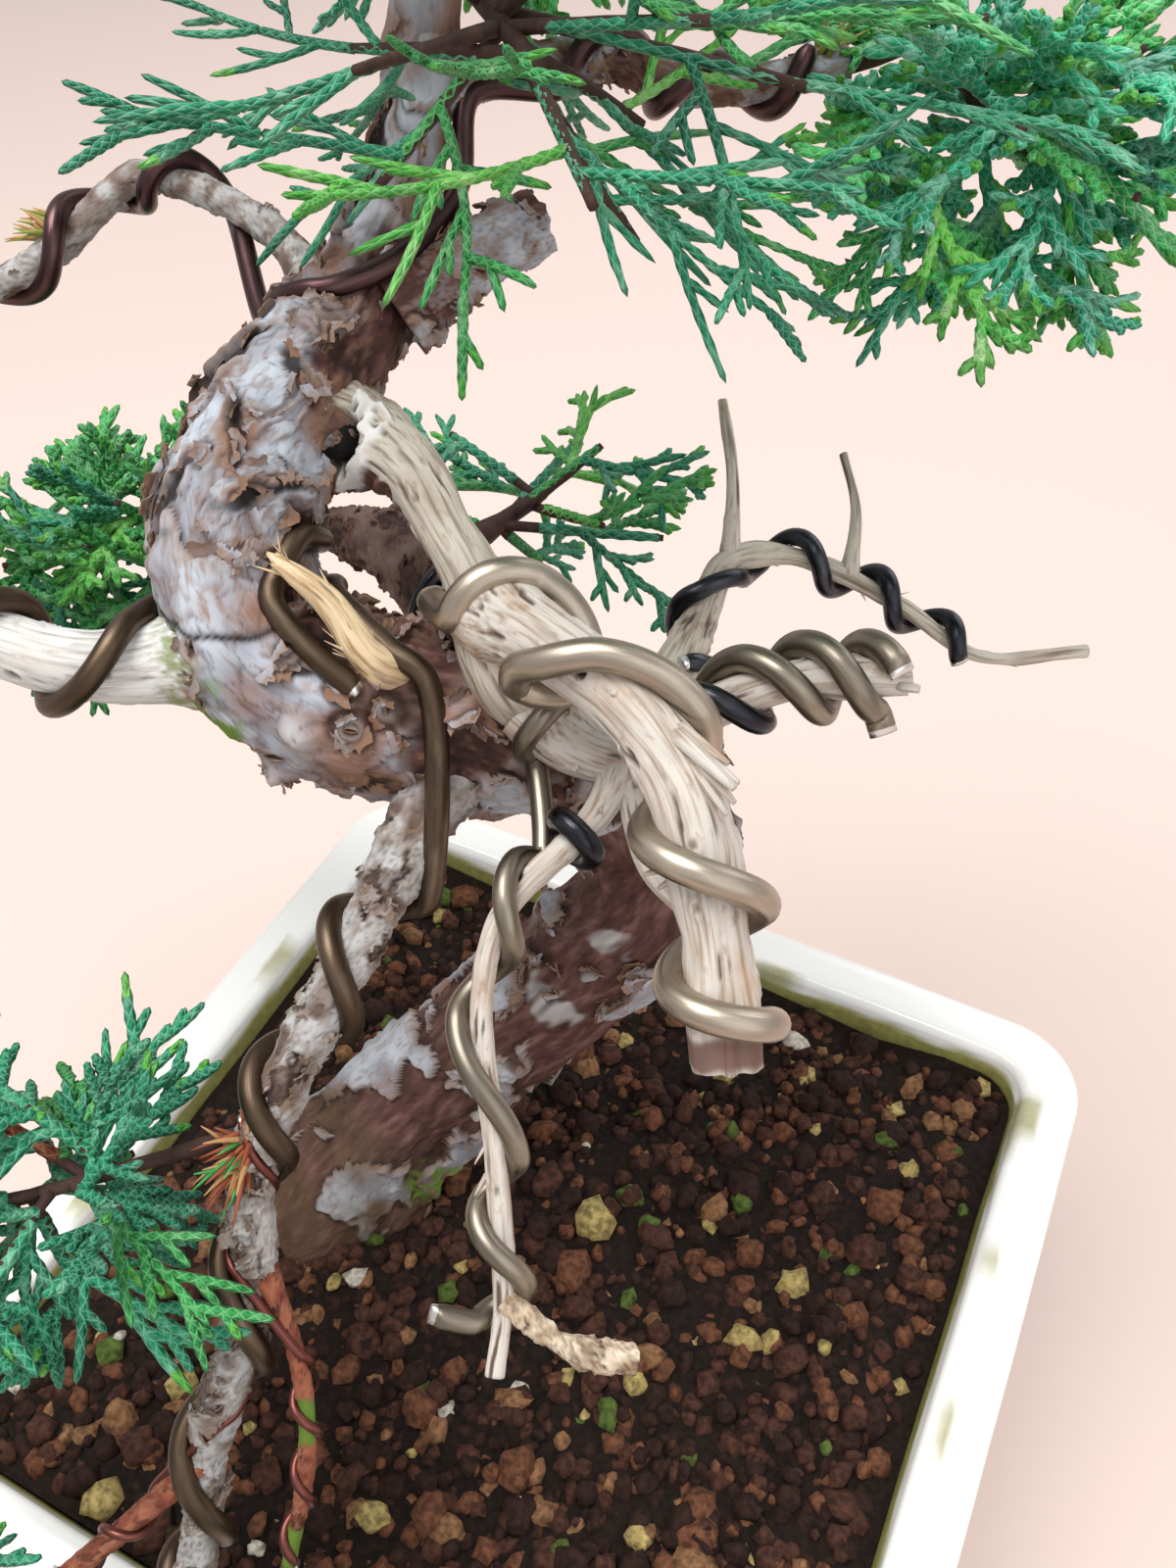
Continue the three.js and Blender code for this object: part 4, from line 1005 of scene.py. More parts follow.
def mossy_root(grain, share, angle, radius):
    """Rain gathers where the left jin leaves the trunk, so moss grows on its first few millimetres."""
    height, masks = weathered(0.26, 76)(grain, share, angle, radius)
    reach = exit_length("left_jin", "trunk") + 4 - share * PATHS["left_jin"].length
    cushions = fade(noise(grain, 0.5, 93), -0.5, 0.3)
    masks["moss"] = 0.8 * fade(reach + 1.5 * noise(grain, 1.4, 92), 0, 2) * cushions
    return height, masks


print("the arch's hollow is", round(HOLLOW_SHARE * PATHS["dead_arch"].length), "mm from its start")

# %% [markdown]
# Bleached wood is matte and nearly colourless, so most of its life is in the streaks. The streaks follow the
# same grain coordinates as the relief: grey where the surface has weathered longest, cream on the ridges.

# %% Bleached juniper wood
# The hollow layer is painted shade, black inside the arch's hollow.
WOOD_LAYERS = (("check", "#5a4a40"), ("pit", "#523c2c"), ("chip", "#dddbd8"), ("hollow", "#0f0b0a"),
               ("moss", "#6f7f3a"))


def bleached_wood(name, light, middle, dark, stain, stain_share):
    """Cream ridges, grey streaks and warm stains on dry, unvarnished wood."""
    material, tree, shader = start_material(name, Roughness=0.7, Specular_IOR_Level=0.35)
    streak, cloud = grain_pattern(tree, 0.5, 11, detail=4.0), grain_pattern(tree, 4.5, 9)
    stops = ((0.26, dark), (0.38, middle), (0.52, light))
    wood = add(tree, "ValToRGB", {"Fac": streak}, stops)
    warm = add(tree, "MapRange", {"Value": cloud, 1: 0.5, 2: 0.72, 4: stain_share})
    fleck = grain_pattern(tree, 1.1, 2.4, detail=5.0)
    soiled = add(tree, "MapRange", {"Value": fleck, 1: 0.58, 2: 0.7, 4: 0.55})
    sawn = overlay(tree, linear("#3c241e"), [(cloud, "#80574a")])
    colour = overlay(tree, wood, [(warm, stain), (soiled, "#8a6f56"), ("stub", sawn), *WOOD_LAYERS])
    bump = add(tree, "Bump", {"Height": streak, "Strength": 0.22, "Distance": 0.12 * MM})
    feed(tree, shader, {"Base Color": colour, "Normal": bump})
    return material


white_wood = bleached_wood("sun_bleached_wood", "#d8d8d6", "#bdbab5", "#8a8279", "#ac9880", 0.4)
cream_wood = bleached_wood("bleached_juniper_wood", "#c9c3ba", "#aea192", "#7c6958", "#9b7350", 0.6)
grey_wood = bleached_wood("weathered_grey_wood", "#c3bcae", "#978e7f", "#544c42", "#7b5f49", 0.5)
ochre_wood = bleached_wood("torn_heartwood", "#dcc6a2", "#b99c74", "#75573b", "#93653f", 0.6)
print("four woods: white, cream, grey and ochre")

# %% Put the wood on the dead limbs
DEAD_LIMBS = [
    ("dead_arch", "trunk", 110, 0.4, hollow_arch, grey_wood, {"collar": (0.75, 8.0)}),
    ("front_jin", "dead_arch", 84, 0.42, weathered(0.36, 71, square=0.9), cream_wood, {"ragged": 0.3}),
    ("right_jin", "dead_arch", 64, 0.42, weathered(0.3, 72), cream_wood, {"ragged": 0.5}),
    ("hanging_jin", "right_jin", 40, 0.42, weathered(0.16, 73), cream_wood, {}),
    ("hanging_spur", "right_jin", 32, 0.4, weathered(0.14, 74), cream_wood, {"ragged": 0.4}),
    ("barked_twig", "hanging_jin", 28, 0.35, bark_of((1.2, 1.2, 1.6), 0.35, 75), beige_bark, {}),
    ("left_jin", "trunk", 76, 0.45, mossy_root, white_wood, {"ragged": 0.4}),
    ("torn_stub", "trunk", 48, 0.35, weathered(0.4, 77), ochre_wood, {"ragged": 1.6}),
    ("rear_jin", "trunk", 44, 0.45, weathered(0.3, 78), grey_wood, {}),
    ("rear_twig_left", "rear_jin", 20, 0.45, weathered(0.12, 79), grey_wood, {}),
    ("rear_twig_right", "rear_jin", 20, 0.45, weathered(0.12, 80), grey_wood, {}),
]
for name, parent, sides, step, relief, material, more in DEAD_LIMBS:
    dress(name, sides, step, relief, material, "dead_wood", parent, **more)

# %% [markdown]
# ## Splinters and pegs
#
# Stripping bark leaves short pegs where twigs were, and breaking a limb leaves splinters. Both are slim
# spikes, so one function makes any number of them at once, and it will make dead needles later on.

# %% Rows of spikes
SPIKE_RINGS = 5
SPIKE_SIDES = 5
ROOTED_AT = 0.85


def spikes(root, way, length, radius, tip, droop=0.0):
    """Each ring of each spike is round · radius, from the full radius at the root to its tip's share, along
    root + way · length · t, bent down by droop · t²."""
    t = np.linspace(0, 1, SPIKE_RINGS)[None, :, None]
    middle = root[:, None] + way[:, None] * length[:, None, None] * t
    middle[..., 2] -= (droop * length[:, None, None] * t**2)[..., 0]
    side = unit_rows(square_to(way))
    up = np.cross(way, side)
    angle = np.arange(SPIKE_SIDES) * FULL_TURN / SPIKE_SIDES
    out = side[:, None] * np.cos(angle)[:, None] + up[:, None] * np.sin(angle)[:, None]
    thick = radius[:, None, None] * (1 - (1 - tip) * t**1.5)
    rings = middle[:, :, None] + out[:, None] * thick[..., None]
    count = len(root)
    points = np.concatenate([rings.reshape(count, -1, 3), rings[:, :1].mean(2), rings[:, -1:].mean(2)], 1)
    faces = copied_faces(tube_faces(SPIKE_RINGS, SPIKE_SIDES), count, points.shape[1])
    return points.reshape(-1, 3), faces


def stand_on(name, places):
    """Roots just under a limb's surface and the way out there, for rows of share, degrees and lean."""
    share, degrees, lean = np.array(places, float).T
    path = PATHS[name]
    s = share * path.length
    centre, along, radius = path.at(s)
    out = path.round(s, np.radians(degrees))
    return centre + out * (radius * ROOTED_AT)[:, None], unit_rows(out + along * lean[:, None])


def splinters(name, places, lengths, radii, tip, material):
    """Spikes of wood at chosen places on one limb."""
    root, way = stand_on(name, places)
    points, faces = spikes(root, way, np.array(lengths, float), np.array(radii, float), tip)
    turn = np.append(np.tile(np.arange(SPIKE_SIDES), SPIKE_RINGS), [0, 0]) * FULL_TURN / SPIKE_SIDES
    way_along = np.append(np.repeat(np.linspace(0, 1, SPIKE_RINGS), SPIKE_SIDES), [0, 1])
    number = np.arange(len(root))[:, None]
    across, over, along = np.cos(turn) + 5 * number, np.sin(turn), np.outer(lengths, way_along)
    grain = np.stack(np.broadcast_arrays(across, over, along), -1)
    masks = {"grain": grain.reshape(-1, 3) * MM}
    return make_piece(f"{name}_splinters", points, faces, [material], masks=masks)


def stray_splinters(name, count, seed, size, material):
    """Fine torn fibres at seeded places, most of them lying forward along the limb."""
    rng = np.random.default_rng(seed)
    places = np.column_stack([rng.uniform(*span, count) for span in ((0.15, 0.97), (0, 360), (1, 4))])
    lengths = rng.uniform(0.5, 1, count) * size
    return splinters(name, places, lengths, rng.uniform(0.08, 0.2, count), 0.15, material)


SPLIT = [
    (0.47, -36, 3.2), (0.485, -48, 2.6), (0.5, -40, 3.6), (0.46, -55, 3.0), (0.5, -62, 1.0), (0.52, -30, 4.0),
]
PEGS = [
    (0.34, -60, 0.3), (0.36, 4, 0.2), (0.66, 96, 0.1), (0.68, 112, 0.5), (0.67, 84, -0.3), (0.2, 30, 0.5),
]
splinters("front_jin", SPLIT + PEGS, [8.5, 7.0, 7.0, 6.5, 2.0, 6.0, 1.4, 1.2, 3.0, 2.4, 2.2, 1.4],
          [1.0, 0.8, 0.7, 0.7, 0.9, 0.6, 0.7, 0.7, 0.5, 0.45, 0.4, 0.5], 0.45, cream_wood)
splinters("right_jin", [(0.62, -96, 0.1), (0.93, -60, 0.4), (0.97, 30, 2), (0.2, 40, 0.2), (0.12, -30, 0.4)],
          [1.3, 2.2, 2.4, 1.4, 1.6], [0.5, 0.6, 0.7, 0.5, 0.5], 0.7, cream_wood)
splinters("hanging_jin", [(0.7, 85, 1.5), (0.1, 0, 0.3), (0.13, 40, 0.4), (0.66, 80, 1.4)],
          [2.6, 1.4, 1.6, 2.0], [0.3, 0.35, 0.3, 0.22], 0.3, cream_wood)
splinters("left_jin", [(0.3, 20, 0.1), (0.16, -70, 0.3), (0.55, -80, 0.2)],
          [1.2, 1.6, 1.4], [0.6, 0.5, 0.5], 0.7, cream_wood)
stray_splinters("dead_arch", 26, 81, 2.2, cream_wood)
stray_splinters("torn_stub", 22, 82, 3.2, ochre_wood)
stray_splinters("rear_jin", 18, 83, 1.8, grey_wood)

# %% [markdown]
# ## Bonsai wire
#
# Annealed aluminium wire is wound round a limb and bent with it. Each wire below is a route of stations on
# the limbs: which limb, the share of the way along it, the angle round it and, where it stands off, how
# far. It winds evenly between two stations on a limb and bends smoothly from limb to limb.

# %% The wires' routes
WIRES = {
    "front_jin_wire": ("bronze_wire", 1.7, [
        ("dead_arch", 0.52, 130), ("dead_arch", 0.54, 80), ("front_jin", 0.03, 40),
        ("front_jin", 0.06, -20), ("front_jin", 0.1, -80), ("front_jin", 0.26, -180),
        ("front_jin", 0.18, -265), ("front_jin", 0.2, -310), ("front_jin", 0.3, -375),
        ("front_jin", 0.45, -445), ("front_jin", 0.6, -630), ("front_jin", 0.75, -810),
        ("front_jin", 0.86, -990), ("front_jin", 0.94, -1170), ("front_jin", 0.97, -1240),
    ]),
    "right_jin_wire": ("bronze_wire", 1.6, [
        ("right_jin", 0.53, 200), ("right_jin", 0.62, 270), ("right_jin", 0.8, 450),
        ("right_jin", 0.9, 630), ("right_jin", 0.97, 720),
    ]),
    "right_jin_wire_end": ("bronze_wire", 1.6, [
        ("right_jin", 0.71, 200), ("right_jin", 0.76, 270), ("right_jin", 0.93, 450),
        ("right_jin", 0.95, 455, 2.5),
    ]),
    "black_jin_wire": ("black_wire", 1.35, [
        ("hanging_jin", 0.15, 150), ("hanging_jin", 0.15, -60), ("hanging_jin", 0.17, -190),
        ("right_jin", 0.36, 150), ("right_jin", 0.47, 270), ("right_jin", 0.64, 450),
        ("right_jin", 0.66, 480),
    ]),
    "hanging_jin_wire": ("bronze_wire", 1.3, [
        ("right_jin", 0.08, -100), ("right_jin", 0.1, 60), ("right_jin", 0.12, 120),
        ("hanging_jin", 0.21, 165), ("hanging_jin", 0.24, 90), ("hanging_jin", 0.36, -90),
        ("hanging_jin", 0.47, -270), ("hanging_jin", 0.68, -450), ("hanging_jin", 0.76, -630),
        ("hanging_jin", 0.87, -810), ("hanging_jin", 0.93, -970, 0.5), ("hanging_jin", 0.92, -990, 5.5),
    ]),
    "low_bough_wire": ("bronze_wire", 1.4, [
        ("left_jin", 0.94, -720), ("left_jin", 0.72, -450), ("left_jin", 0.52, -270),
        ("left_jin", 0.4, -90), ("left_jin", 0.25, 60), ("trunk", 0.655, -140), ("trunk", 0.635, -250),
        ("trunk", 0.613, -296), ("trunk", 0.56, -345), ("trunk", 0.542, -417, 0.4),
        ("low_bough", 0.15, -110, 0.9), ("low_bough", 0.2, -270), ("low_bough", 0.29, -450),
        ("low_bough", 0.36, -630), ("low_bough", 0.44, -810), ("low_bough", 0.55, -990),
        ("low_bough", 0.66, -1170), ("low_bough", 0.765, -1350), ("low_bough", 0.88, -1530),
        ("low_bough", 0.92, -1710), ("low_bough", 0.97, -1850),
    ]),
    "trunk_wire_end": ("bronze_wire", 1.4, [
        ("trunk", 0.584, 2), ("trunk", 0.602, 12), ("trunk", 0.635, 25), ("trunk", 0.665, 60),
        ("trunk", 0.675, 110),
    ]),
    "crown_wire": ("bronze_wire", 1.25, [
        ("left_bough", 0.93, -810), ("left_bough", 0.8, -630), ("left_bough", 0.66, -450),
        ("left_bough", 0.55, -270, 0.2), ("left_bough", 0.44, -90, 0.3), ("left_bough", 0.37, 90),
        ("left_bough", 0.26, 240), ("trunk", 0.755, -90), ("trunk", 0.775, -10),
        ("fork_stub", 0.38, -20, 0.8), ("trunk", 0.84, 85, 1), ("trunk", 0.875, 95, 1),
        ("right_bough", 0.33, 80, 0.5), ("right_bough", 0.5, -90), ("right_bough", 0.6, -270),
        ("right_bough", 0.72, -450), ("right_bough", 0.84, -630), ("right_bough", 0.92, -750),
    ]),
    "rear_jin_wire": ("black_wire", 1.25, [
        ("rear_jin", 0.16, 0), ("rear_jin", 0.3, 330), ("rear_jin", 0.44, 520), ("rear_jin", 0.54, 760),
        ("rear_jin", 0.8, 1500),
    ]),
    "rear_bough_wire": ("black_wire", 1.25, [
        ("rear_bough", 0.26, 0), ("rear_bough", 0.5, 470),
    ]),
}
# Two thin wires that the part's source leaves to the finish: they hold the red twigs of the low bough.
THIN_WIRES = {
    "thin_wire_right": ("copper_wire", 0.55, [
        ("low_bough", 0.41, 60), ("low_bough", 0.52, -200), ("low_bough", 0.56, -330),
        ("low_twig_right", 0.3, -400), ("low_twig_right", 0.98, -1500),
    ]),
    "thin_wire_left": ("copper_wire", 0.55, [
        ("low_bough", 0.66, 100), ("low_bough", 0.73, 330), ("low_twig_left", 0.35, 500),
        ("low_twig_left", 0.97, 1150),
    ]),
}
GAP = 0.3
SOURCE_STEP = 45
FINE_STEP = 22.5


def wire_points(radius, route, step, bed):
    """Places along a route. The ring that they lie on is the limb's radius, the wire's and its bed."""
    places = []
    for i, (name, share, degrees, *off) in enumerate(route):
        following = route[i + 1] if i + 1 < len(route) else (None, share, degrees)
        same = following[0] == name
        turns = abs(following[2] - degrees) if same else 0
        steps = max(int(np.ceil(turns / step)), 1)
        start = np.array([share, degrees, *(off or [0])], float)
        end = np.array([*following[1:3], *(following[3:] or [0])], float) if same else start
        for t in np.arange(steps) / steps:
            at, turn, stand = start + (end - start) * t
            places.append(PATHS[name].beside(at, turn, radius + bed + stand))
    return np.array(places)


low_wire = wire_points(1.4, WIRES["low_bough_wire"][2], FINE_STEP, 0)
print("the longest wire takes", len(low_wire), "places and is", round(Path(low_wire).length), "mm long")

# %% [markdown]
# A wire's tube needs a section that doesn't twist. The section's first direction is carried from ring to
# ring, each time made square again to the wire's new direction. Side cutters pinch the wire where they part
# it, so both ends are flattened, and the fresh cut shows bare bright metal.

# %% The wires' tubes
PINCH_LENGTH = 1.6
PINCH_FLAT = 0.5
WIRE_ROUND = 18


def carried_frames(along):
    """A direction square to the wire at every ring, carried along it from the first."""
    across = np.empty_like(along)
    before = np.cross(along[0], [0.3, 0.5, 0.8])
    for i, direction in enumerate(along):
        before = before - direction * (before @ direction)
        before = before / np.linalg.norm(before)
        across[i] = before
    return across


def wire_tube(places, radius, step=0.7):
    """Rings along the wire. Near an end one of the section's two half-widths shrinks to the pinch's share."""
    path = Path(places, fine=12)
    s = np.linspace(0, path.length, max(int(path.length / step), 4))
    ends = PINCH_LENGTH * np.array([0.0, 0.35, 0.7])
    s = np.unique(np.concatenate([s, ends, path.length - ends]))
    centre, along, _ = path.at(s)
    across = carried_frames(along)
    over = np.cross(along, across)
    to_end = np.minimum(s, path.length - s)
    flat = PINCH_FLAT + (1 - PINCH_FLAT) * fade(to_end, 0, PINCH_LENGTH)
    angle = np.arange(WIRE_ROUND) * FULL_TURN / WIRE_ROUND
    wide = radius * np.cos(angle)[None, :, None] * across[:, None]
    thin = radius * np.sin(angle)[None, :, None] * over[:, None] * flat[:, None, None]
    faces = tube_faces(len(s), WIRE_ROUND)
    grain = np.stack(np.broadcast_arrays(radius * np.cos(angle), radius * np.sin(angle), s[:, None]), -1)
    grain = grain.reshape(-1, 3)
    grain = np.vstack([grain, grain[:1], grain[-1:]]) * MM
    row = np.repeat(np.arange(len(s) - 1), 2 * WIRE_ROUND)
    cut = np.concatenate([(row < 2) | (row > len(s) - 4), np.ones(2 * WIRE_ROUND)]).astype(int)
    return tube_points(centre[:, None] + wide + thin), faces, cut, grain


print("a wire's tube has", WIRE_ROUND, "sides, and its ends are pinched over", PINCH_LENGTH, "mm")

# %% [markdown]
# The wire is anodised aluminium: a hard, slightly satin skin of dyed oxide over metal. It is metallic, with a
# roughness near 0.35 that stretches every highlight along the wire, and drawing the wire through its die has
# left hair-fine lines along it. The cut faces are plain bright aluminium.

# %% Anodised aluminium
def anodised(name, code, worn, roughness):
    """Dyed metal with drawing lines along it, a little paler where it has rubbed."""
    material, tree, shader = start_material(name, Metallic=1.0)
    lines, rubbed = grain_pattern(tree, 0.16, 9, detail=2.0), grain_pattern(tree, 1.6, 6)
    share = add(tree, "MapRange", {"Value": rubbed, 1: 0.45, 2: 0.75, 4: 0.7})
    colour = overlay(tree, linear(code), [(share, worn)])
    matte = add(tree, "MapRange", {"Value": lines, 1: 0.3, 2: 0.7, 3: roughness - 0.07, 4: roughness + 0.1})
    bump = add(tree, "Bump", {"Height": lines, "Strength": 0.25, "Distance": 0.06 * MM})
    feed(tree, shader, {"Base Color": colour, "Roughness": matte, "Normal": bump})
    return material


FINISHES = {
    "bronze_wire": anodised("bronze_anodised_aluminium", "#81796c", "#aca391", 0.37),
    # The front jin's wire is the bronze wire made paler: a painted highlight for the light its turns reflect.
    "painted_highlight_wire": anodised("bronze_aluminium_with_painted_highlight", "#a79c8d", "#cbc0b0", 0.37),
    "dark_bronze_wire": anodised("dark_bronze_anodised_aluminium", "#544639", "#7c6d5d", 0.42),
    "brown_wire": anodised("brown_anodised_aluminium", "#4f3a3c", "#6d5654", 0.34),
    "black_wire": anodised("black_anodised_aluminium", "#34353b", "#55565c", 0.3),
    "copper_wire": anodised("old_copper_wire", "#74453f", "#8f5f56", 0.4),
}
bare_aluminium, tree, shader = start_material("cut_aluminium", Metallic=1.0, Roughness=0.3)
shader.inputs["Base Color"].default_value = linear("#dcdcdc")

# The front jin's wire takes the paler copy of the bronze, as painted highlight.
SHADES = {"crown_wire": "brown_wire", "front_jin_wire": "painted_highlight_wire", "low_bough_wire": "dark_bronze_wire",
          "trunk_wire_end": "dark_bronze_wire"}
WIRE_BED = -0.12
# Between the trunk and the low bough the long wire swings over in one even arc, so it passes by these places.
SWUNG_OVER = {"low_bough_wire": [48, 49, 50, 51]}
for name, (finish, radius, route) in {**WIRES, **THIN_WIRES}.items():
    places = np.delete(wire_points(radius, route, FINE_STEP, WIRE_BED), SWUNG_OVER.get(name, []), axis=0)
    points, faces, cut, grain = wire_tube(places, radius)
    in_source = name in WIRES
    shade = FINISHES[SHADES.get(name, finish)]
    make_piece(name + "_coil" if in_source else name, points, faces, [shade, bare_aluminium],
               [name] if in_source else (), kinds=cut, masks={"grain": grain})

# %% [markdown]
# ## The growing rule
#
# Each mass of foliage keeps to its own space, an oval round its heart. A stem grows from a limb to the heart,
# twigs leave it for places spread evenly through the space, and flat sprays stand out all round each twig.
# A spray that would leave the space, or touch a limb or wire, is skipped. The rule and its seeded chances are
# those of the part's source, so the sprays here reach the same tips as the plain solids.

# %% The spaces of the masses
MASSES = {
    "crown_front": ("trunk", 0.93, (-9, 30, 242), (42, 26, 24), 11),
    "crown_top": ("trunk", 1, (-26, 46, 281), (35, 32, 21), 12),
    "crown_back": ("trunk", 0.95, (-44, 86, 246), (35, 29, 22), 11),
    "crown_right": ("right_bough", 1, (26, 72, 228), (28, 24, 23), 12),
    "crown_left": ("left_bough", 1, (-107, -4, 204), (24, 23, 15), 7),
    "rear_left": ("rear_bough", 1, (-85, 32, 166), (28, 30, 20), 9),
    "rear_right": ("rear_bough", 0.62, (-29, 66, 171), (34, 21, 15), 8),
    "low_left": ("low_bough", 0.42, (-34, -49, 148), (24, 22, 17), 8),
    "low_front": ("low_bough", 1, (-6, -90, 100), (25, 20, 15), 7),
    "low_right": ("low_twig_right", 1, (19, -73, 107), (19, 18, 14), 5),
    "low_corner": ("low_twig_left", 1, (-43, -88, 111), (22, 18, 14), 5),
}
SPRAY_LENGTH, SPRAY_WIDTH, SPRAY_THICKNESS, SPRAY_WIDEST = 17, 8, 2, 0.45
TWIG_RADIUS, TWIG_TAPER, TWIG_REACH, TWIG_BARE, TWIG_LEAFY, TWIG_END = 0.9, 0.7, 0.6, 0.5, 0.8, 0.96
STEM_BEND, STEM_BARE, STEM_LEAFY, TIP_STEM_SHARE, SIDE_STEM_SHARE = 0.4, 0.5, 0.98, 0.9, 0.45
SPRAYS_A_TWIG, FOLLOW, SPREAD_LEAST, SPREAD_MORE = 4, 0.35, 0.7, 0.5
LIMB_CLEARANCE, WIRE_ROOM, ROOM_STEP, SPACE_EDGE, SPACE_MARGIN = 0.7, 1, 2, 1.08, 0.06


def chance(seed, index):
    """A seeded number from 0 to 1: the fraction of a fast sine wave."""
    wave = np.sin(seed * 127.1 + index * 311.7) * 43758.5453
    return wave - np.floor(wave)


def room_balls():
    """Balls along every limb, and at every place of the source's wires, that no spray may enter."""
    balls = []
    for path in PATHS.values():
        count = int(np.ceil(path.length / ROOM_STEP))
        centre, _, radius = path.at(np.linspace(0, path.length, count + 1))
        balls.append(np.column_stack([centre, radius]))
    for _, radius, route in WIRES.values():
        chord = 1 / np.cos(np.radians(SOURCE_STEP / 2))
        for name, share, degrees, *off in route_stations(route):
            limb = PATHS[name].at(share * PATHS[name].length)[2]
            ring = (limb + radius + GAP + off[0]) * chord
            place = PATHS[name].beside(share, degrees, ring - limb)
            balls.append(np.array([[*place, radius + WIRE_ROOM]]))
    return np.vstack(balls)


def route_stations(route):
    """A route's stations and the even steps between them, as the source takes them."""
    for i, (name, share, degrees, *off) in enumerate(route):
        start = np.array([share, degrees, *(off or [0])], float)
        yield (name, *start)
        if i + 1 < len(route) and route[i + 1][0] == name:
            end = np.array([*route[i + 1][1:3], *(route[i + 1][3:] or [0])], float)
            steps = int(np.ceil(abs(end[1] - start[1]) / SOURCE_STEP))
            for step in range(1, steps):
                yield (name, *(start + (end - start) * step / steps))


BALLS = room_balls()
print(len(BALLS), "balls of room round the limbs and wires")

# %% Sprays in their places
def depth_in(name, places):
    """0 at a mass's heart and 1 at the edge of its space."""
    _, _, heart, reach, _ = MASSES[name]
    return np.linalg.norm((places - np.array(heart)) / np.array(reach), axis=-1)


def has_room(name, places, thickness):
    """Whether all the places lie in the mass's own space and clear of the limbs and wires."""
    places = np.array(places)
    own = depth_in(name, places)
    others = np.min([depth_in(other, places) for other in MASSES if other != name], axis=0)
    to_balls = np.linalg.norm(places[:, None] - BALLS[None, :, :3], axis=2) - BALLS[None, :, 3]
    clear = to_balls.min(1) >= thickness + LIMB_CLEARANCE
    return bool(np.all((own <= SPACE_EDGE) & (others >= own + SPACE_MARGIN) & clear))


def unit(vector):
    return vector / np.linalg.norm(vector)


def stem_of(name):
    """The stem's path and its radius where it leaves the limb."""
    limb, share, heart, _, _ = MASSES[name]
    heart = np.array(heart, float)
    path = PATHS[limb]
    root, along, radius = path.at(share * path.length)
    away = along if share == 1 else unit(heart - root)
    bend = root + away * np.linalg.norm(heart - root) * STEM_BEND
    thick = max(radius * (TIP_STEM_SHARE if share == 1 else SIDE_STEM_SHARE), TWIG_RADIUS)
    return Path([root, bend, heart]), thick


def place_spray(name, sprays, start, end, turn, spread, way, length, length_share):
    """Adds one spray if it has room. It follows the twig and the way out, and leans aside by its spread. The
    room is asked for at the source's length, and the spray then has its own share of it."""
    _, _, heart, reach, _ = MASSES[name]
    along = unit(end - start)
    out = unit((end - np.array(heart)) / np.array(reach))
    across = unit(np.cross(along, [0, 0, 1]))
    above = np.cross(across, along)
    aim = FOLLOW * (along + out) + across * spread * np.cos(turn) + above * spread * np.sin(turn)
    aim = unit(aim * np.array(reach))
    root = start + (end - start) * way
    side = unit(np.cross(aim, above))
    up = np.cross(side, aim)
    middle = root + aim * length * SPRAY_WIDEST
    corners = [middle + side * SPRAY_WIDTH / 2, middle + up * SPRAY_THICKNESS / 2]
    corners += [middle - side * SPRAY_WIDTH / 2, middle - up * SPRAY_THICKNESS / 2, root + aim * length]
    if has_room(name, corners, SPRAY_THICKNESS / 2):
        sprays.append(np.concatenate([root, aim, side, up, [length * length_share]]))


# Each mass's habit: how many finer sprays a twig gets, side shoots a spray, how long they are in mm, how many
# shoots those carry in turn, a spray's length as a share of the source's, the share of sprays that is kept,
# and how thick the shoots are as a share of the thickest.
HABITS = {
    "crown_front": (0, 5, 10, 1, 1.6, 0.72, 0.6), "crown_top": (5, 6, 8.5, 2, 1.05, 1, 0.92),
    "crown_back": (5, 6, 8.5, 2, 1.05, 1, 0.92), "crown_right": (3, 6, 7.5, 2, 1.05, 0.9, 0.88),
    "crown_left": (5, 6, 8, 2, 1, 1, 0.92), "rear_left": (4, 6, 8, 2, 1, 1, 0.92),
    "rear_right": (1, 5, 8, 2, 1.05, 0.6, 0.9), "low_left": (3, 6, 9.5, 1, 1.1, 1, 0.86),
    "low_front": (4, 6, 9, 1, 1.05, 1, 0.86), "low_right": (4, 6, 9, 1, 1, 1, 0.86),
    "low_corner": (4, 6, 9, 1, 1, 1, 0.86),
}
FINE_LENGTHS = (0.55, 0.85)
FINE_FROM, FINE_SPAN = 0.15, 0.8


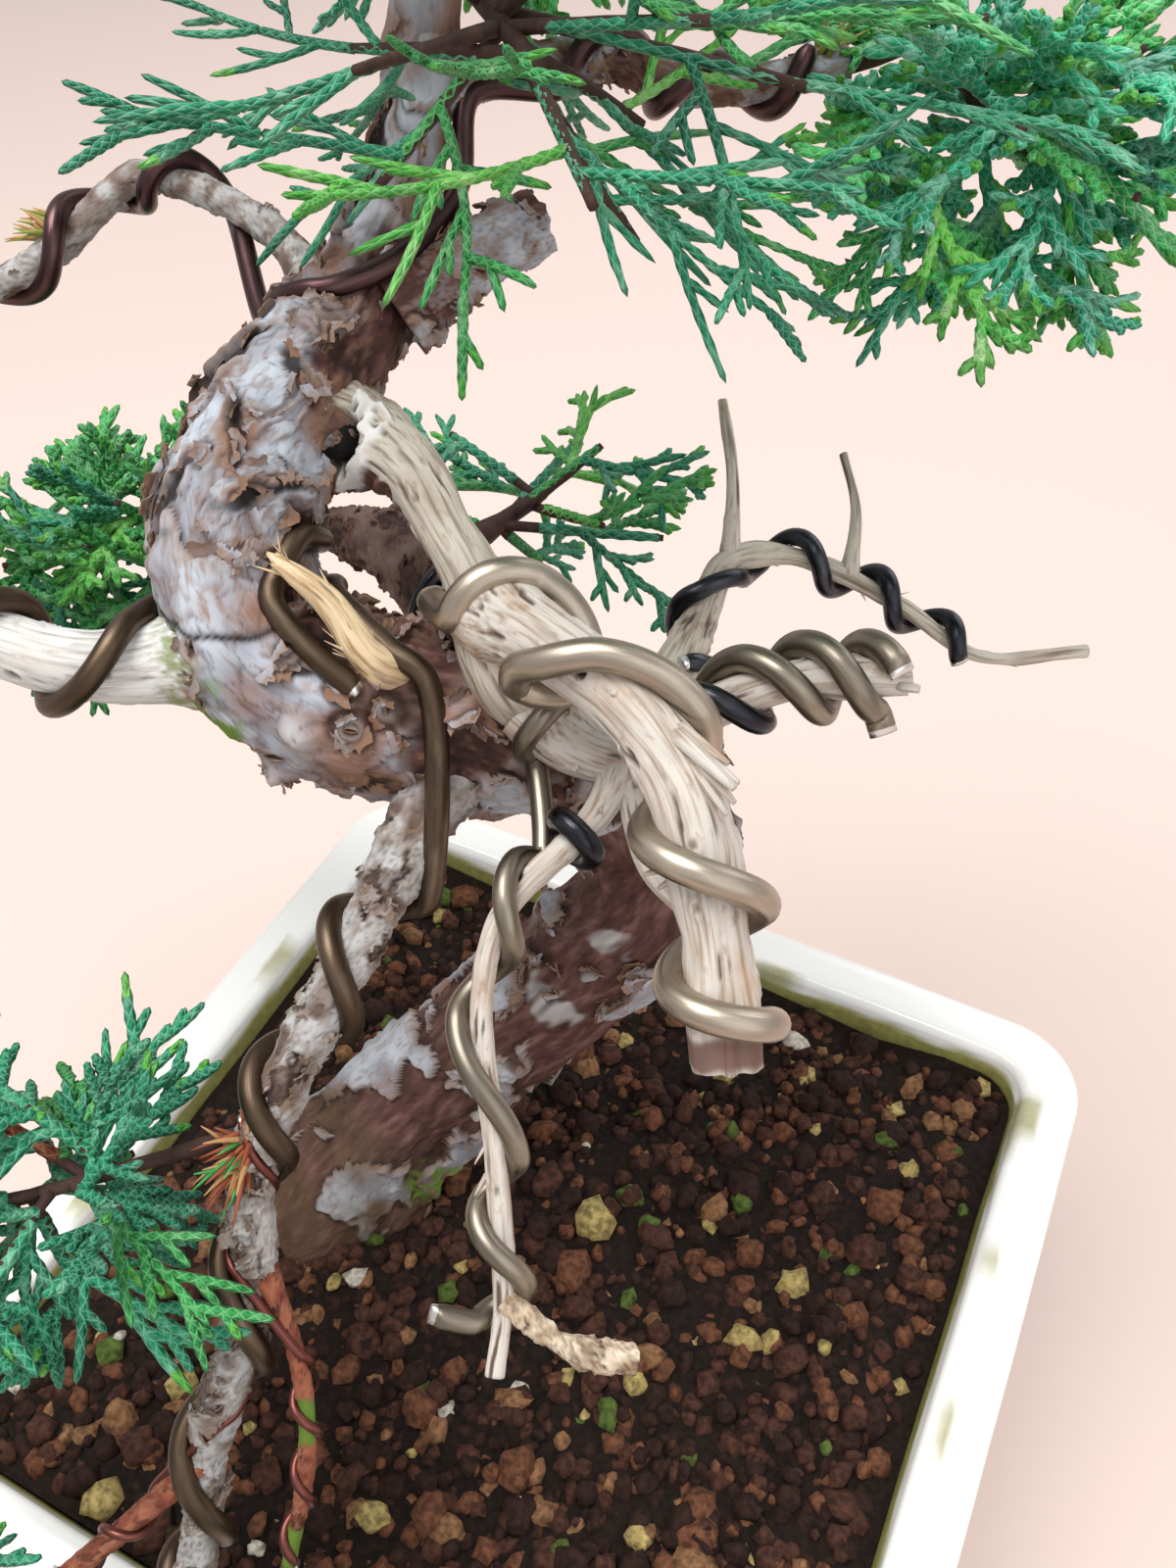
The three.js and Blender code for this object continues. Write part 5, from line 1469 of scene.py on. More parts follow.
def grow(name, seed):
    """The twigs as rows of start and end, and the sprays as rows of root, aim, side, up and length. Finer
    sprays than the source's follow on each twig, shorter, and set by further draws from the same chances."""
    fine_sprays, _, _, _, length_share, kept, _ = HABITS[name]
    stem, _ = stem_of(name)
    _, _, heart, reach, count = MASSES[name]
    twigs, sprays = [], []
    for i in range(count):
        height = 1 - (2 * i + 1) / count
        round_heart = i * GOLDEN_ANGLE + seed
        ring = np.sqrt(1 - height * height)
        out = np.array([ring * np.cos(round_heart), ring * np.sin(round_heart), height])
        start = stem.at((STEM_BARE + (STEM_LEAFY - STEM_BARE) * chance(seed, i)) * stem.length)[0]
        end = np.array(heart) + out * np.array(reach) * TWIG_REACH
        if not has_room(name, [(start + end) / 2, end], TWIG_RADIUS):
            continue
        twigs.append(np.concatenate([start, end]))
        first_turn = FULL_TURN * chance(seed + 1, i)
        for k in range(SPRAYS_A_TWIG + fine_sprays):
            last = k == SPRAYS_A_TWIG - 1
            draw = SPRAYS_A_TWIG * i + k
            spread = 0 if last else SPREAD_LEAST + SPREAD_MORE * chance(seed + 2, draw)
            way = TWIG_END if last else TWIG_BARE + (TWIG_LEAFY - TWIG_BARE) * k / (SPRAYS_A_TWIG - 2)
            length = SPRAY_LENGTH
            if k >= SPRAYS_A_TWIG:
                way = FINE_FROM + FINE_SPAN * chance(seed + 3, draw)
                length *= FINE_LENGTHS[0] + (FINE_LENGTHS[1] - FINE_LENGTHS[0]) * chance(seed + 4, draw)
            if last or chance(seed + 5, draw) < kept:
                turn = k * GOLDEN_ANGLE + first_turn
                place_spray(name, sprays, start, end, turn, spread, way, length, length_share)
    return np.array(twigs), np.array(sprays)


GROWN = {name: grow(name, i + 1) for i, name in enumerate(MASSES)}
print({name: (len(twigs), len(sprays)) for name, (twigs, sprays) in GROWN.items()})

# %% [markdown]
# ## Scale-leaved shoots
#
# A juniper's shoot looks like a braided cord: tiny scale leaves sit in crossed pairs and overlap like
# tiles. A tube of four-cornered rings, each turned half a corner from the last, has exactly this pattern of
# diamonds with very few faces, which matters because there are many thousands of shoots. Each face corner
# also keeps its place in the weave, eighths of a turn and rings, so that the material can draw the pale
# edge of every scale.

# %% A braided cord and thousands of copies
def cord_template(rings):
    """One cord's faces, their corners' places in the weave, and the ring that each face reaches up to."""
    j = np.arange(4)
    k = np.arange(rings - 1)[:, None]
    odd = k % 2
    low, low_next = 4 * k + j, 4 * k + (j + 1) % 4
    high, high_next = low + 4, low_next + 4
    u = 2 * j + odd
    apex = np.where(odd, high_next, high)
    partner = np.where(odd, low, low_next)
    base = np.stack([low, low_next, apex], -1)
    peak = np.stack([partner, high_next, high], -1)
    base_u = np.stack([u, u + 2, u + 1], -1)
    peak_u = np.where(odd[..., None], np.stack([u, u + 1, u - 1], -1), np.stack([u + 2, u + 3, u + 1], -1))
    top = 4 * (rings - 1)
    root_fan = np.stack([np.full(4, 4 * rings), (j + 1) % 4, j], -1)
    tip_fan = np.stack([top + j, top + (j + 1) % 4, np.full(4, 4 * rings + 1)], -1)
    last = 2 * j + (rings - 1) % 2
    faces = np.vstack([base.reshape(-1, 3), peak.reshape(-1, 3), root_fan, tip_fan])
    root_u = np.stack([2 * j + 1, 2 * j + 2, 2 * j], -1)
    tip_u = np.stack([last, last + 2, last + 1], -1)
    across = np.vstack([base_u.reshape(-1, 3), peak_u.reshape(-1, 3), root_u, tip_u])
    rise = np.broadcast_to(k, u.shape)[..., None]
    up = np.vstack([(rise + [0, 0, 1]).reshape(-1, 3), (rise + [0, 1, 1]).reshape(-1, 3),
                    np.tile([-1, 0, 0], (4, 1)), np.tile([rings - 1, rings - 1, rings], (4, 1))])
    return faces, np.stack([across, up], -1), up.max(1)


def cords(root, way, side, bend, length, thick, rings, blunt):
    """A ring's middle is root + way · length · t + bend · length · t². Its four corners stand off by the
    thickness, turned an eighth of a turn on every second ring. The cord thins a little, and more at its
    tip."""
    t = (np.arange(rings) / (rings - 0.45))[None, :, None]
    far = length[:, None, None]
    middle = root[:, None] + way[:, None] * far * t + bend[:, None] * far * t**2
    over = np.cross(way, side)
    angle = (np.arange(4)[None] + 0.5 * (np.arange(rings)[:, None] % 2)) * FULL_TURN / 4
    out = side[:, None, None] * np.cos(angle)[..., None] + over[:, None, None] * np.sin(angle)[..., None]
    shape = 1 - 0.14 * t[0, :, 0] - blunt * fade(t[0, :, 0], 0.72, 1.05)
    corners = middle[:, :, None] + out * (thick[:, None] * shape)[..., None, None]
    tip = root + (way + bend) * length[:, None]
    return np.concatenate([corners.reshape(len(root), -1, 3), root[:, None], tip[:, None]], 1)


print("a cord of 6 rings has", len(cord_template(6)[0]), "faces")

# %% [markdown]
# A spray is a flat frond. Its middle cord carries side shoots left and right in turn, and each of these
# carries two short ones. Young sprays are bright yellow-green at their tips, older ones deep or bluish
# green, and a few have died and gone rust brown.

# %% Fronds of shoots
RING_PITCH = 0.85
SHOOT_RADIUS = 0.98
TIPS_KIND = 4
FRESH_TIPS = (0.15, 0.4, 1, 0, 0)
GREEN_FROM = 0.25
TWIG_RINGS, TWIG_SIDES = 9, 6


def turned(way, side, degrees, lift, up):
    """A direction in the frond's plane, turned from the way towards the side, with a little lift."""
    angle = np.radians(degrees)[:, None]
    return unit_rows(way * np.cos(angle) + side * np.sin(angle) + up * lift[:, None])


def ring_count(length):
    return max(int(round(length / RING_PITCH)), 4)


def frond_cords(name, seed):
    """Rows of (which spray, root, way, side, bend, length, thickness, rings, blunt) for every cord."""
    rng = np.random.default_rng(seed)
    sprays = GROWN[name][1]
    _, side_shoots, side_length, sub_shoots, length_share, _, thickness = HABITS[name]
    root, aim, side, up = (sprays[:, 3 * i:3 * i + 3] for i in range(4))
    length = sprays[:, 12]
    count = len(sprays)
    which = np.arange(count)
    size = length / SPRAY_LENGTH / length_share
    bend = up * rng.uniform(-0.12, 0.2, count)[:, None] + side * rng.uniform(-0.14, 0.14, count)[:, None]
    thick = SHOOT_RADIUS * thickness * rng.uniform(0.88, 1.06, count)
    main_rings = ring_count(SPRAY_LENGTH * length_share / 2)
    batches = []
    for half in (0, 1):
        start = root + (aim * half / 2 + bend * half / 4) * length[:, None]
        batches.append((which, start, aim + bend * half, side, bend / 2, length / 2,
                        thick * (1 - 0.14 * half), main_rings, 0.35 * half))
    for j in range(side_shoots):
        share = 0.14 + 0.74 * j / (side_shoots - 1) + rng.uniform(-0.05, 0.05, count)
        hand = np.where((j + which) % 2, 1.0, -1.0)
        degrees = hand * (48 - 18 * share + rng.uniform(-9, 9, count))
        way = turned(aim, side, degrees, rng.uniform(-0.35, 0.45, count), up)
        start = root + (aim * share[:, None] + bend * share[:, None]**2) * length[:, None]
        reach = size * side_length * (1.05 - 1.1 * (share - 0.35)**2) * rng.uniform(0.7, 1.18, count)
        curl = aim * rng.uniform(0.0, 0.32, count)[:, None] + up * rng.uniform(-0.15, 0.25, count)[:, None]
        wide = thick * rng.uniform(0.82, 0.96, count)
        batches.append((which, start, way, up, curl, reach, wide, ring_count(side_length), 0.35))
        for sub in range(sub_shoots):
            along = 0.36 + 0.26 * sub
            sub_hand = hand * (1 - 2 * sub)
            degrees = sub_hand * rng.uniform(28, 50, count)
            away = turned(way, np.cross(up, way), degrees, rng.uniform(-0.3, 0.3, count), up)
            begin = start + (way * along + curl * along**2) * reach[:, None]
            short = reach * rng.uniform(0.34, 0.56, count)
            sub_rings = ring_count(side_length * 0.45)
            batches.append((which, begin, away, up, curl * 0.5, short, wide * 0.88, sub_rings, 0.3))
    twigs = GROWN[name][0]
    reach = (twigs[:, 3:] - twigs[:, :3]) * (1 - GREEN_FROM)
    far = np.linalg.norm(reach, axis=1)
    away = reach / far[:, None]
    over = square_to(away)
    batches.append((count + np.arange(len(twigs)), twigs[:, 3:] - reach, away, over, 0 * reach, far,
                    np.full(len(twigs), 1.05 * SHOOT_RADIUS * thickness), ring_count(far.mean()), 0.2))
    return batches


def shoots_of(name, seed, shares):
    """One piece for all the shoots of a mass. The shares deal out the kinds of green by spray."""
    # The sunny masses take the brightened leaves, which carry painted light.
    leaves = PAINTED_LIGHT_LEAVES if name in PAINTED_LIGHT_MASSES else SHADY_LEAVES
    rng = np.random.default_rng(seed)
    sprays = GROWN[name][1]
    kind_of = rng.choice(len(shares), len(sprays) + len(GROWN[name][0]), p=shares)
    points, faces, weave, kinds = [], [], [], []
    total = 0
    for which, root, way, side, bend, length, thick, rings, blunt in frond_cords(name, seed):
        square_side = unit_rows(side - way * (side * way).sum(1)[:, None])
        batch = cords(root, way, square_side, bend, length, thick, rings, blunt)
        one, places, level = cord_template(rings)
        faces.append(total + copied_faces(one, len(batch), batch.shape[1]))
        weave.append(np.tile(places.reshape(-1, 2), (len(batch), 1)))
        kind = np.repeat(kind_of[which][:, None], len(one), axis=1)
        fresh = rng.uniform(size=(len(batch), 1)) < np.array(FRESH_TIPS)[kind]
        kinds.append(np.where(fresh & (level[None] >= rings - 2) & (blunt > 0), TIPS_KIND, kind).ravel())
        points.append(batch.reshape(-1, 3))
        total += batch.shape[0] * batch.shape[1]
    return make_piece(name + "_shoots", np.vstack(points), np.vstack(faces), leaves, [name],
                      kinds=np.concatenate(kinds), weave=np.vstack(weave))


def twigs_of(name, seed):
    """One piece for a mass's stem and twigs. Each tube follows its bend, six-sided, and thins to its tip."""
    rng = np.random.default_rng(seed)
    stem, thick = stem_of(name)
    twigs = GROWN[name][0]
    t = np.linspace(0, 1, TWIG_RINGS)
    bend = rng.uniform(-0.3, 0.3, (len(twigs), 3))
    middles = twigs[:, None, :3] + (twigs[:, None, 3:] - twigs[:, None, :3]) * t[None, :, None]
    middles = middles + bend[:, None] * (4 * t * (1 - t))[None, :, None]
    middles = np.concatenate([stem.at(t * stem.length)[0][None], middles])
    radii = np.vstack([thick + (TWIG_RADIUS - thick) * t,
                       np.tile(TWIG_RADIUS * (0.85 - (1 - TWIG_TAPER) * t), (len(twigs), 1))])
    radii = radii * rng.uniform(0.88, 1.12, radii.shape)
    along = unit_rows(np.gradient(middles, axis=1))
    helper = np.where(np.abs(along[:, :1, 2:]) > 0.8, [1.0, 0, 0], [0, 0, 1.0])
    side = unit_rows(np.cross(along, helper))
    over = np.cross(along, side)
    angle = np.arange(TWIG_SIDES) * FULL_TURN / TWIG_SIDES
    out = side[:, :, None] * np.cos(angle)[:, None] + over[:, :, None] * np.sin(angle)[:, None]
    tubes = middles[:, :, None] + out * radii[..., None, None]
    count = len(tubes)
    points = np.concatenate([tubes.reshape(count, -1, 3), middles[:, :1], middles[:, -1:]], 1)
    faces = copied_faces(tube_faces(TWIG_RINGS, TWIG_SIDES), count, points.shape[1])
    points = points.reshape(-1, 3)
    ones = np.ones(len(points))
    masks = {"grain": points * MM, "plate": 0.5 * ones, "tone": 0.4 * ones}
    return make_piece(name + "_twigs", points, faces, [brown_bark_and_painted_shade], [name], masks=masks)


print("a shoot 10 mm long has", ring_count(10), "rings of scales")

# %% [markdown]
# The scales' pattern is drawn from the weave: two families of diagonals, where u + v or u - v is an even
# number, are the edges of the scales. Near them the colour is pale, and between them the scale bulges. The
# leaf itself is a little waxy, so it has a soft highlight.

# %% Juniper leaf
def leaf_material(name, leaf, shade, net, painted_light_gain):
    """Distance to the nearest scale edge: the smaller of the two ping-pong waves of u + v and u - v. The gain
    makes all three colours paler or deeper alike, and above 1 it is painted light for masses in shade."""
    material, tree, shader = start_material(name, Roughness=0.5, Specular_IOR_Level=0.4)
    leaf, shade, net = (tuple(min(painted_light_gain * part, 0.95) for part in linear(code)[:3]) + (1.0,)
                        for code in (leaf, shade, net))
    weave = add(tree, "UVMap", uv_map="weave")
    u, v, _ = add(tree, "SeparateXYZ", {0: weave}).outputs
    diagonals = [add(tree, "Math", {0: u, 1: v}, operation=operation) for operation in ("ADD", "SUBTRACT")]
    waves = [add(tree, "Math", {0: diagonal, 1: 1.0}, operation="PINGPONG") for diagonal in diagonals]
    inside = add(tree, "Math", dict(enumerate(waves)), operation="MINIMUM")
    edge = add(tree, "MapRange", {"Value": inside, 1: 0.04, 2: 0.24, 3: 0.42, 4: 0.0})
    place = add(tree, "TexCoord").outputs["Object"]
    cloud = add(tree, "TexNoise", {"Vector": place, "Scale": 110.0, "Detail": 2.0})
    tone = add(tree, "MapRange", {"Value": cloud, 1: 0.35, 2: 0.65})
    dust = add(tree, "TexNoise", {"Vector": place, "Scale": 260.0, "Detail": 3.0})
    bloom = add(tree, "MapRange", {"Value": dust, 1: 0.52, 2: 0.7, 4: 0.4})
    colour = overlay(tree, shade, [(tone, leaf), (bloom, net), (edge, net)])
    bump = add(tree, "Bump", {"Height": inside, "Strength": 0.8, "Distance": 0.35 * MM})
    feed(tree, shader, {"Base Color": colour, "Normal": bump})
    return material


def leaf_kinds(habit, painted_light_gain):
    """The five kinds of leaf that a mass deals out."""
    colours = {
        "blue_green_leaf": ("#2b956d", "#186e53", "#9edab9"),
        "mid_green_leaf": ("#41a857", "#237d3e", "#a8dfa8"),
        "fresh_green_leaf": ("#66c04b", "#3a9a40", "#bfe8a2"),
        "dead_leaf": ("#8a4028", "#6a301c", "#b98a64"),
        "fresh_green_tip": ("#56ae45", "#3d993c", "#9cd880"),
    }
    return [leaf_material(f"{habit}_{kind}", *codes, 1.0 if kind == "fresh_green_tip" else painted_light_gain)
            for kind, codes in colours.items()]


# The leaves of the sunny masses are the same kinds made 1.7 times brighter, except the fresh tips: painted
# light that lifts them out of the shade of the dense crown.
SHADY_LEAVES, PAINTED_LIGHT_LEAVES = leaf_kinds("shady", 1.0), leaf_kinds("painted_light", 1.7)
PAINTED_LIGHT_MASSES = ("crown_right", "crown_top", "crown_back")
BLUE_GREENS = {"low_left": 0.97, "low_corner": 0.8, "low_front": 0.7, "crown_front": 0.8, "crown_right": 0.35,
               "crown_left": 0.5, "rear_left": 0.3}
for seed, name in enumerate(MASSES, 100):
    blue = BLUE_GREENS.get(name, 0.25)
    shares = np.array([blue, 0.92 * (1 - blue), 0.06 * (1 - blue), 0.008 * (name != "crown_front")])
    shoots_of(name, seed, shares / shares.sum())
    twigs_of(name, seed)

# %% [markdown]
# ## Dead needles and young awls
#
# Juvenile juniper leaves are sharp awls instead of scales. A tuft of dead, rust-brown ones hangs under the
# low bough among green ones. Olive and straw-coloured ones sit near the tip of the right bough and on the
# left one.

# %% Tufts of needles
NEEDLE_RADIUS = 0.42


def plain(name, code, roughness=0.6):
    material, _, shader = start_material(name, Roughness=roughness)
    shader.inputs["Base Color"].default_value = linear(code)
    return material


def tuft(name, limb, share, degrees, lean, counts, lengths, materials, seed):
    """Needles that fan out round one direction from a place on a limb."""
    rng = np.random.default_rng(seed)
    total = sum(counts)
    places = np.column_stack([np.full(total, share) + rng.uniform(-0.02, 0.02, total),
                              degrees + rng.normal(0, 16, total), lean + rng.normal(0, 0.5, total)])
    root, way = stand_on(limb, places)
    way = unit_rows(way + rng.normal(0, 0.28, way.shape))
    points, faces = spikes(root, way, rng.uniform(*lengths, total), np.full(total, NEEDLE_RADIUS), 0.15, 0.18)
    kinds = np.repeat(np.repeat(np.arange(len(counts)), counts), len(faces) // total)
    return make_piece(name, points, faces, materials, kinds=kinds)


rust = plain("rust_needle", "#8f4a2b")
straw = plain("straw_needle", "#b98d5c")
olive = plain("olive_needle", "#8a9340")
needle_green = plain("green_needle", "#3f9a4c")
tuft("low_bough_tuft", "low_bough", 0.44, 30, 0.4, [26, 14, 8], (3, 7), [rust, straw, needle_green], 91)
tuft("right_bough_tuft", "right_bough", 0.95, -63, 0.6, [18, 6], (4, 8), [olive, straw], 92)
tuft("left_bough_tuft", "left_bough", 0.6, 60, 0.6, [8, 8], (3, 6), [olive, straw], 93)

# %% [markdown]
# ## Loose soil
#
# Bonsai soil is a sieved mix of baked clay, pumice and lava. Most grains here are 2 to 5 mm across. Each is
# a lump: a sphere of four rings whose corners are pulled in and out by chance. A first layer covers the
# bed, and a second, looser one lies on it. Brown clay grains prevail, with some ochre and a few pale ones
# of pumice.

# %% Grains of soil
GRAIN_ROWS, GRAIN_SIDES = 4, 5
SOIL_HALF = 64.2
HEAP_HALF, HEAP_STEPS, HEAP_RELIEF, HEAP_SEED = 65.5, 10, 2.4, 40
GRAIN_COLOURS = {
    "dark_clay": ("#2b1a14", 0.367), "brown_clay": ("#442a20", 0.36), "red_clay": ("#623e2b", 0.18),
    "ochre_clay": ("#7b593d", 0.05), "straw_pumice": ("#9f8c58", 0.02), "pale_pumice": ("#b9b2a4", 0.008),
    "mossy_grain": ("#4c5c28", 0.015),
}


def random_turns(rng, count):
    """Rotation matrices from random unit quaternions."""
    w, x, y, z = unit_rows(rng.normal(size=(count, 4))).T
    rows = [1 - 2 * (y * y + z * z), 2 * (x * y - w * z), 2 * (x * z + w * y),
            2 * (x * y + w * z), 1 - 2 * (x * x + z * z), 2 * (y * z - w * x),
            2 * (x * z - w * y), 2 * (y * z + w * x), 1 - 2 * (x * x + y * y)]
    return np.stack(rows, -1).reshape(count, 3, 3)


def lumps(middle, radius, flat, rng):
    """Each corner is a sphere's, times its own length, stretched along three axes and turned at random."""
    count = len(middle)
    tilt = (np.arange(GRAIN_ROWS) + 0.5) * np.pi / GRAIN_ROWS
    turn = np.arange(GRAIN_SIDES) * FULL_TURN / GRAIN_SIDES
    ring = np.stack([np.sin(tilt)[:, None] * np.cos(turn), np.sin(tilt)[:, None] * np.sin(turn),
                     np.broadcast_to(-np.cos(tilt)[:, None], (GRAIN_ROWS, GRAIN_SIDES))], -1)
    sphere = np.vstack([ring.reshape(-1, 3), [0, 0, -1], [0, 0, 1]])
    shape = sphere[None] * rng.uniform(0.74, 1.14, (count, len(sphere), 1))
    shape = shape * rng.uniform(0.75, 1.25, (count, 1, 3))
    shape = np.einsum("nij,nkj->nki", random_turns(rng, count), shape) * radius[:, None, None]
    shape[..., 2] *= flat
    one = tube_faces(GRAIN_ROWS, GRAIN_SIDES)
    return (middle[:, None] + shape).reshape(-1, 3), copied_faces(one, count, len(sphere)), len(one)


def grain_material(name, code):
    """Porous and quite matte, with speckles finer than the grain."""
    material, tree, shader = start_material(name, Roughness=0.92, Specular_IOR_Level=0.25)
    place = add(tree, "TexCoord").outputs["Object"]
    speckle = add(tree, "TexNoise", {"Vector": place, "Scale": 900.0, "Detail": 3.0})
    dark = tuple(0.5 * channel for channel in linear(code)[:3]) + (1.0,)
    pale = tuple(min(1.35 * channel, 1) for channel in linear(code)[:3]) + (1.0,)
    share = add(tree, "MapRange", {"Value": speckle, 1: 0.35, 2: 0.65})
    bump = add(tree, "Bump", {"Height": speckle, "Strength": 0.6, "Distance": 0.3 * MM})
    feed(tree, shader, {"Base Color": overlay(tree, dark, [(share, pale)]), "Normal": bump})
    return material


def heap_height(place):
    """The solid's own heaps: a seeded height at each corner of a square grid, blended between the four
    corners round a place, with the corners' numbers running row by row."""
    at = place / (2 * HEAP_HALF / HEAP_STEPS) + HEAP_STEPS / 2
    low = np.clip(np.floor(at), 0, HEAP_STEPS - 1)
    share = at - low
    total = 0
    for column, row in itertools.product((0, 1), repeat=2):
        weight = np.prod(np.where([column, row], share, 1 - share), axis=1)
        total = total + weight * chance(HEAP_SEED, (low[:, 1] + row) * (HEAP_STEPS + 1) + low[:, 0] + column)
    return HEAP_RELIEF * total


# The larger stones that catch the eye: place in mm, radius, and which of the colours above.
STONES = [
    (25, 19, 3.6, 3), (33, 15, 3.3, 2), (37, 1, 3.2, 4), (41, 13, 2.8, 4), (14, -31, 3.4, 2),
    (34, -31, 2.6, 4), (-37, -43, 3.5, 4), (-42, -51, 3.2, 3), (11, 15, 2.8, 6), (16, 12, 2.4, 6),
    (23, -18, 2.8, 6), (51, 12, 2.8, 2), (50, 32, 3.0, 2), (-1, -45, 2.6, 4), (57, -48, 3.4, 3),
    (-52, 20, 3.0, 2), (-20, 50, 3.2, 3), (30, 50, 2.9, 4),
]
BED_STEP, BED_SHIFT, LOOSE_GRAINS = 2.6, 0.9, 1250
FOOT_AT, FOOT_ROOM, GRAIN_FLAT = 10.5, 13, 0.85
GRAIN_MATERIALS = [grain_material(name, code) for name, (code, _) in GRAIN_COLOURS.items()]
rng = np.random.default_rng(300)
spacing = np.arange(-SOIL_HALF + 1.2, SOIL_HALF - 1, BED_STEP)
bed = np.array(list(itertools.product(spacing, spacing)))
bed = bed + rng.uniform(-BED_SHIFT, BED_SHIFT, (len(spacing) ** 2, 2))
loose = rng.uniform(-SOIL_HALF + 2, SOIL_HALF - 2, (LOOSE_GRAINS, 2))
stones = np.array(STONES)
place = np.vstack([bed, loose, stones[:, :2]])
radius = np.concatenate([
    rng.uniform(1.1, 2.4, len(bed)), rng.gamma(4, 0.4, len(loose)).clip(0.6, 3.4), stones[:, 2]])
height = heap_height(place) + np.concatenate([
    rng.uniform(-1.6, -0.2, len(bed)), rng.uniform(-0.3, 0.7, len(loose)), np.zeros(len(stones))])
foot = PATHS["trunk"].at(FOOT_AT)[0][:2]
away = np.linalg.norm(place - foot, axis=1)
room = (away > FOOT_ROOM) & (np.abs(place).max(1) < SOIL_HALF - radius)
middle = np.column_stack([place, SOIL_TOP + height])[room]
points, faces, each = lumps(middle, radius[room], GRAIN_FLAT, rng)
kinds = rng.choice(len(GRAIN_COLOURS), len(place), p=[share for _, share in GRAIN_COLOURS.values()])
kinds[-len(stones):] = stones[:, 3]
kinds = kinds[room]
make_piece("soil_grains", points, faces, GRAIN_MATERIALS, kinds=np.repeat(kinds, each))
bed_soil = grain_material("soil_bed", "#1b110c")
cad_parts["soil"].material_slots[0].material = bed_soil

# %% [markdown]
# ## The glazed pot
#
# The pot is slip-cast stoneware: a square that widens to a flat rim, with softly rounded corners and a
# drain hole. It is one closed grid. Its levels run up the outside, over the rim, down the inside, across
# the floor to the drain, down through it and back across the underside to the foot.

# %% The pot's levels
POT_WIDTH, POT_FOOT, POT_HEIGHT, RIM_WIDTH, POT_FLOOR = 150, 128, 80, 9.5, 9
OUTER_CORNER, INNER_CORNER, LIP = 14, 7, 2
DRAIN_RADIUS, DRAIN_PLACE = 6, np.array([0, 26])
CORNER_POINTS, SIDE_POINTS = 14, 26
SLOPE = (POT_WIDTH - POT_FOOT) / (POT_HEIGHT - LIP) / 2


def square_ring(half, corner, z):
    """Even points round a square with rounded corners. A corner's middle lies half - corner from both
    axes."""
    turn = np.arange(4)[:, None] * FULL_TURN / 4
    bend = turn + np.linspace(0, FULL_TURN / 4, CORNER_POINTS)
    start = np.array([[1, 1], [-1, 1], [-1, -1], [1, -1]]) * (half - corner)
    arcs = start[:, None] + corner * np.stack([np.cos(bend), np.sin(bend)], -1)
    share = np.linspace(0, 1, SIDE_POINTS + 2)[1:-1, None]
    sides = arcs[:, -1:] + (np.roll(arcs, -1, 0)[:, :1] - arcs[:, -1:]) * share
    flat = np.concatenate([arcs, sides], 1).reshape(-1, 2)
    return np.column_stack([flat, np.full(len(flat), z)])


def rounding(first, last, count):
    """Cosines and sines of even angles in degrees, for a rounded edge of the profile."""
    angle = np.radians(np.linspace(first, last, count))
    return zip(np.cos(angle), np.sin(angle))


FOOT_HALF, RIM_HALF = POT_FOOT / 2 + SLOPE * LIP - LIP, POT_WIDTH / 2 - LIP
INSIDE_HALF = POT_WIDTH / 2 - RIM_WIDTH
levels = [(FOOT_HALF + LIP * c, OUTER_CORNER - LIP + LIP * c, LIP + LIP * s) for c, s in rounding(-90, 0, 6)]
levels += [(POT_FOOT / 2 + SLOPE * z, OUTER_CORNER, z) for z in np.linspace(LIP, POT_HEIGHT - LIP, 24)[1:-1]]
levels += [(RIM_HALF + LIP * c, OUTER_CORNER - LIP + LIP * c, POT_HEIGHT - LIP + LIP * s)
           for c, s in rounding(0, 90, 8)]
RIM_FLAT = INSIDE_HALF + LIP - RIM_HALF
CORNER_CHANGE = INNER_CORNER + 2 * LIP - OUTER_CORNER
levels += [(RIM_HALF + RIM_FLAT * t, OUTER_CORNER - LIP + CORNER_CHANGE * t, POT_HEIGHT)
           for t in (0.2, 0.4, 0.6, 0.8)]
levels += [(INSIDE_HALF + LIP - LIP * s, INNER_CORNER + LIP - LIP * s, POT_HEIGHT - LIP + LIP * c)
           for c, s in rounding(0, 90, 8)]
levels += [(INSIDE_HALF - SLOPE * (POT_HEIGHT - z), INNER_CORNER, z)
           for z in [*np.linspace(POT_HEIGHT - LIP - 0.7, SOIL_TOP - 2, 8), 50, 30, POT_FLOOR]]
rings = [square_ring(*level) for level in levels]
print(len(levels), "levels of", len(rings[0]), "points each")

# %% [markdown]
# White glaze is glass over clay: a smooth coat with a sharp highlight, thicker in places, so that reflections
# wander a little. Watering leaves a line of algae on the inside above the soil, and a few patches on the rim.

# %% The pot's surface and its glaze
STAIN_TOP = 77.6
GLAZE_ROUGHNESS, STAIN_ROUGHNESS = 0.16, 0.6


def bridge(start, end, shares):
    return [start + (end - start) * share for share in shares]


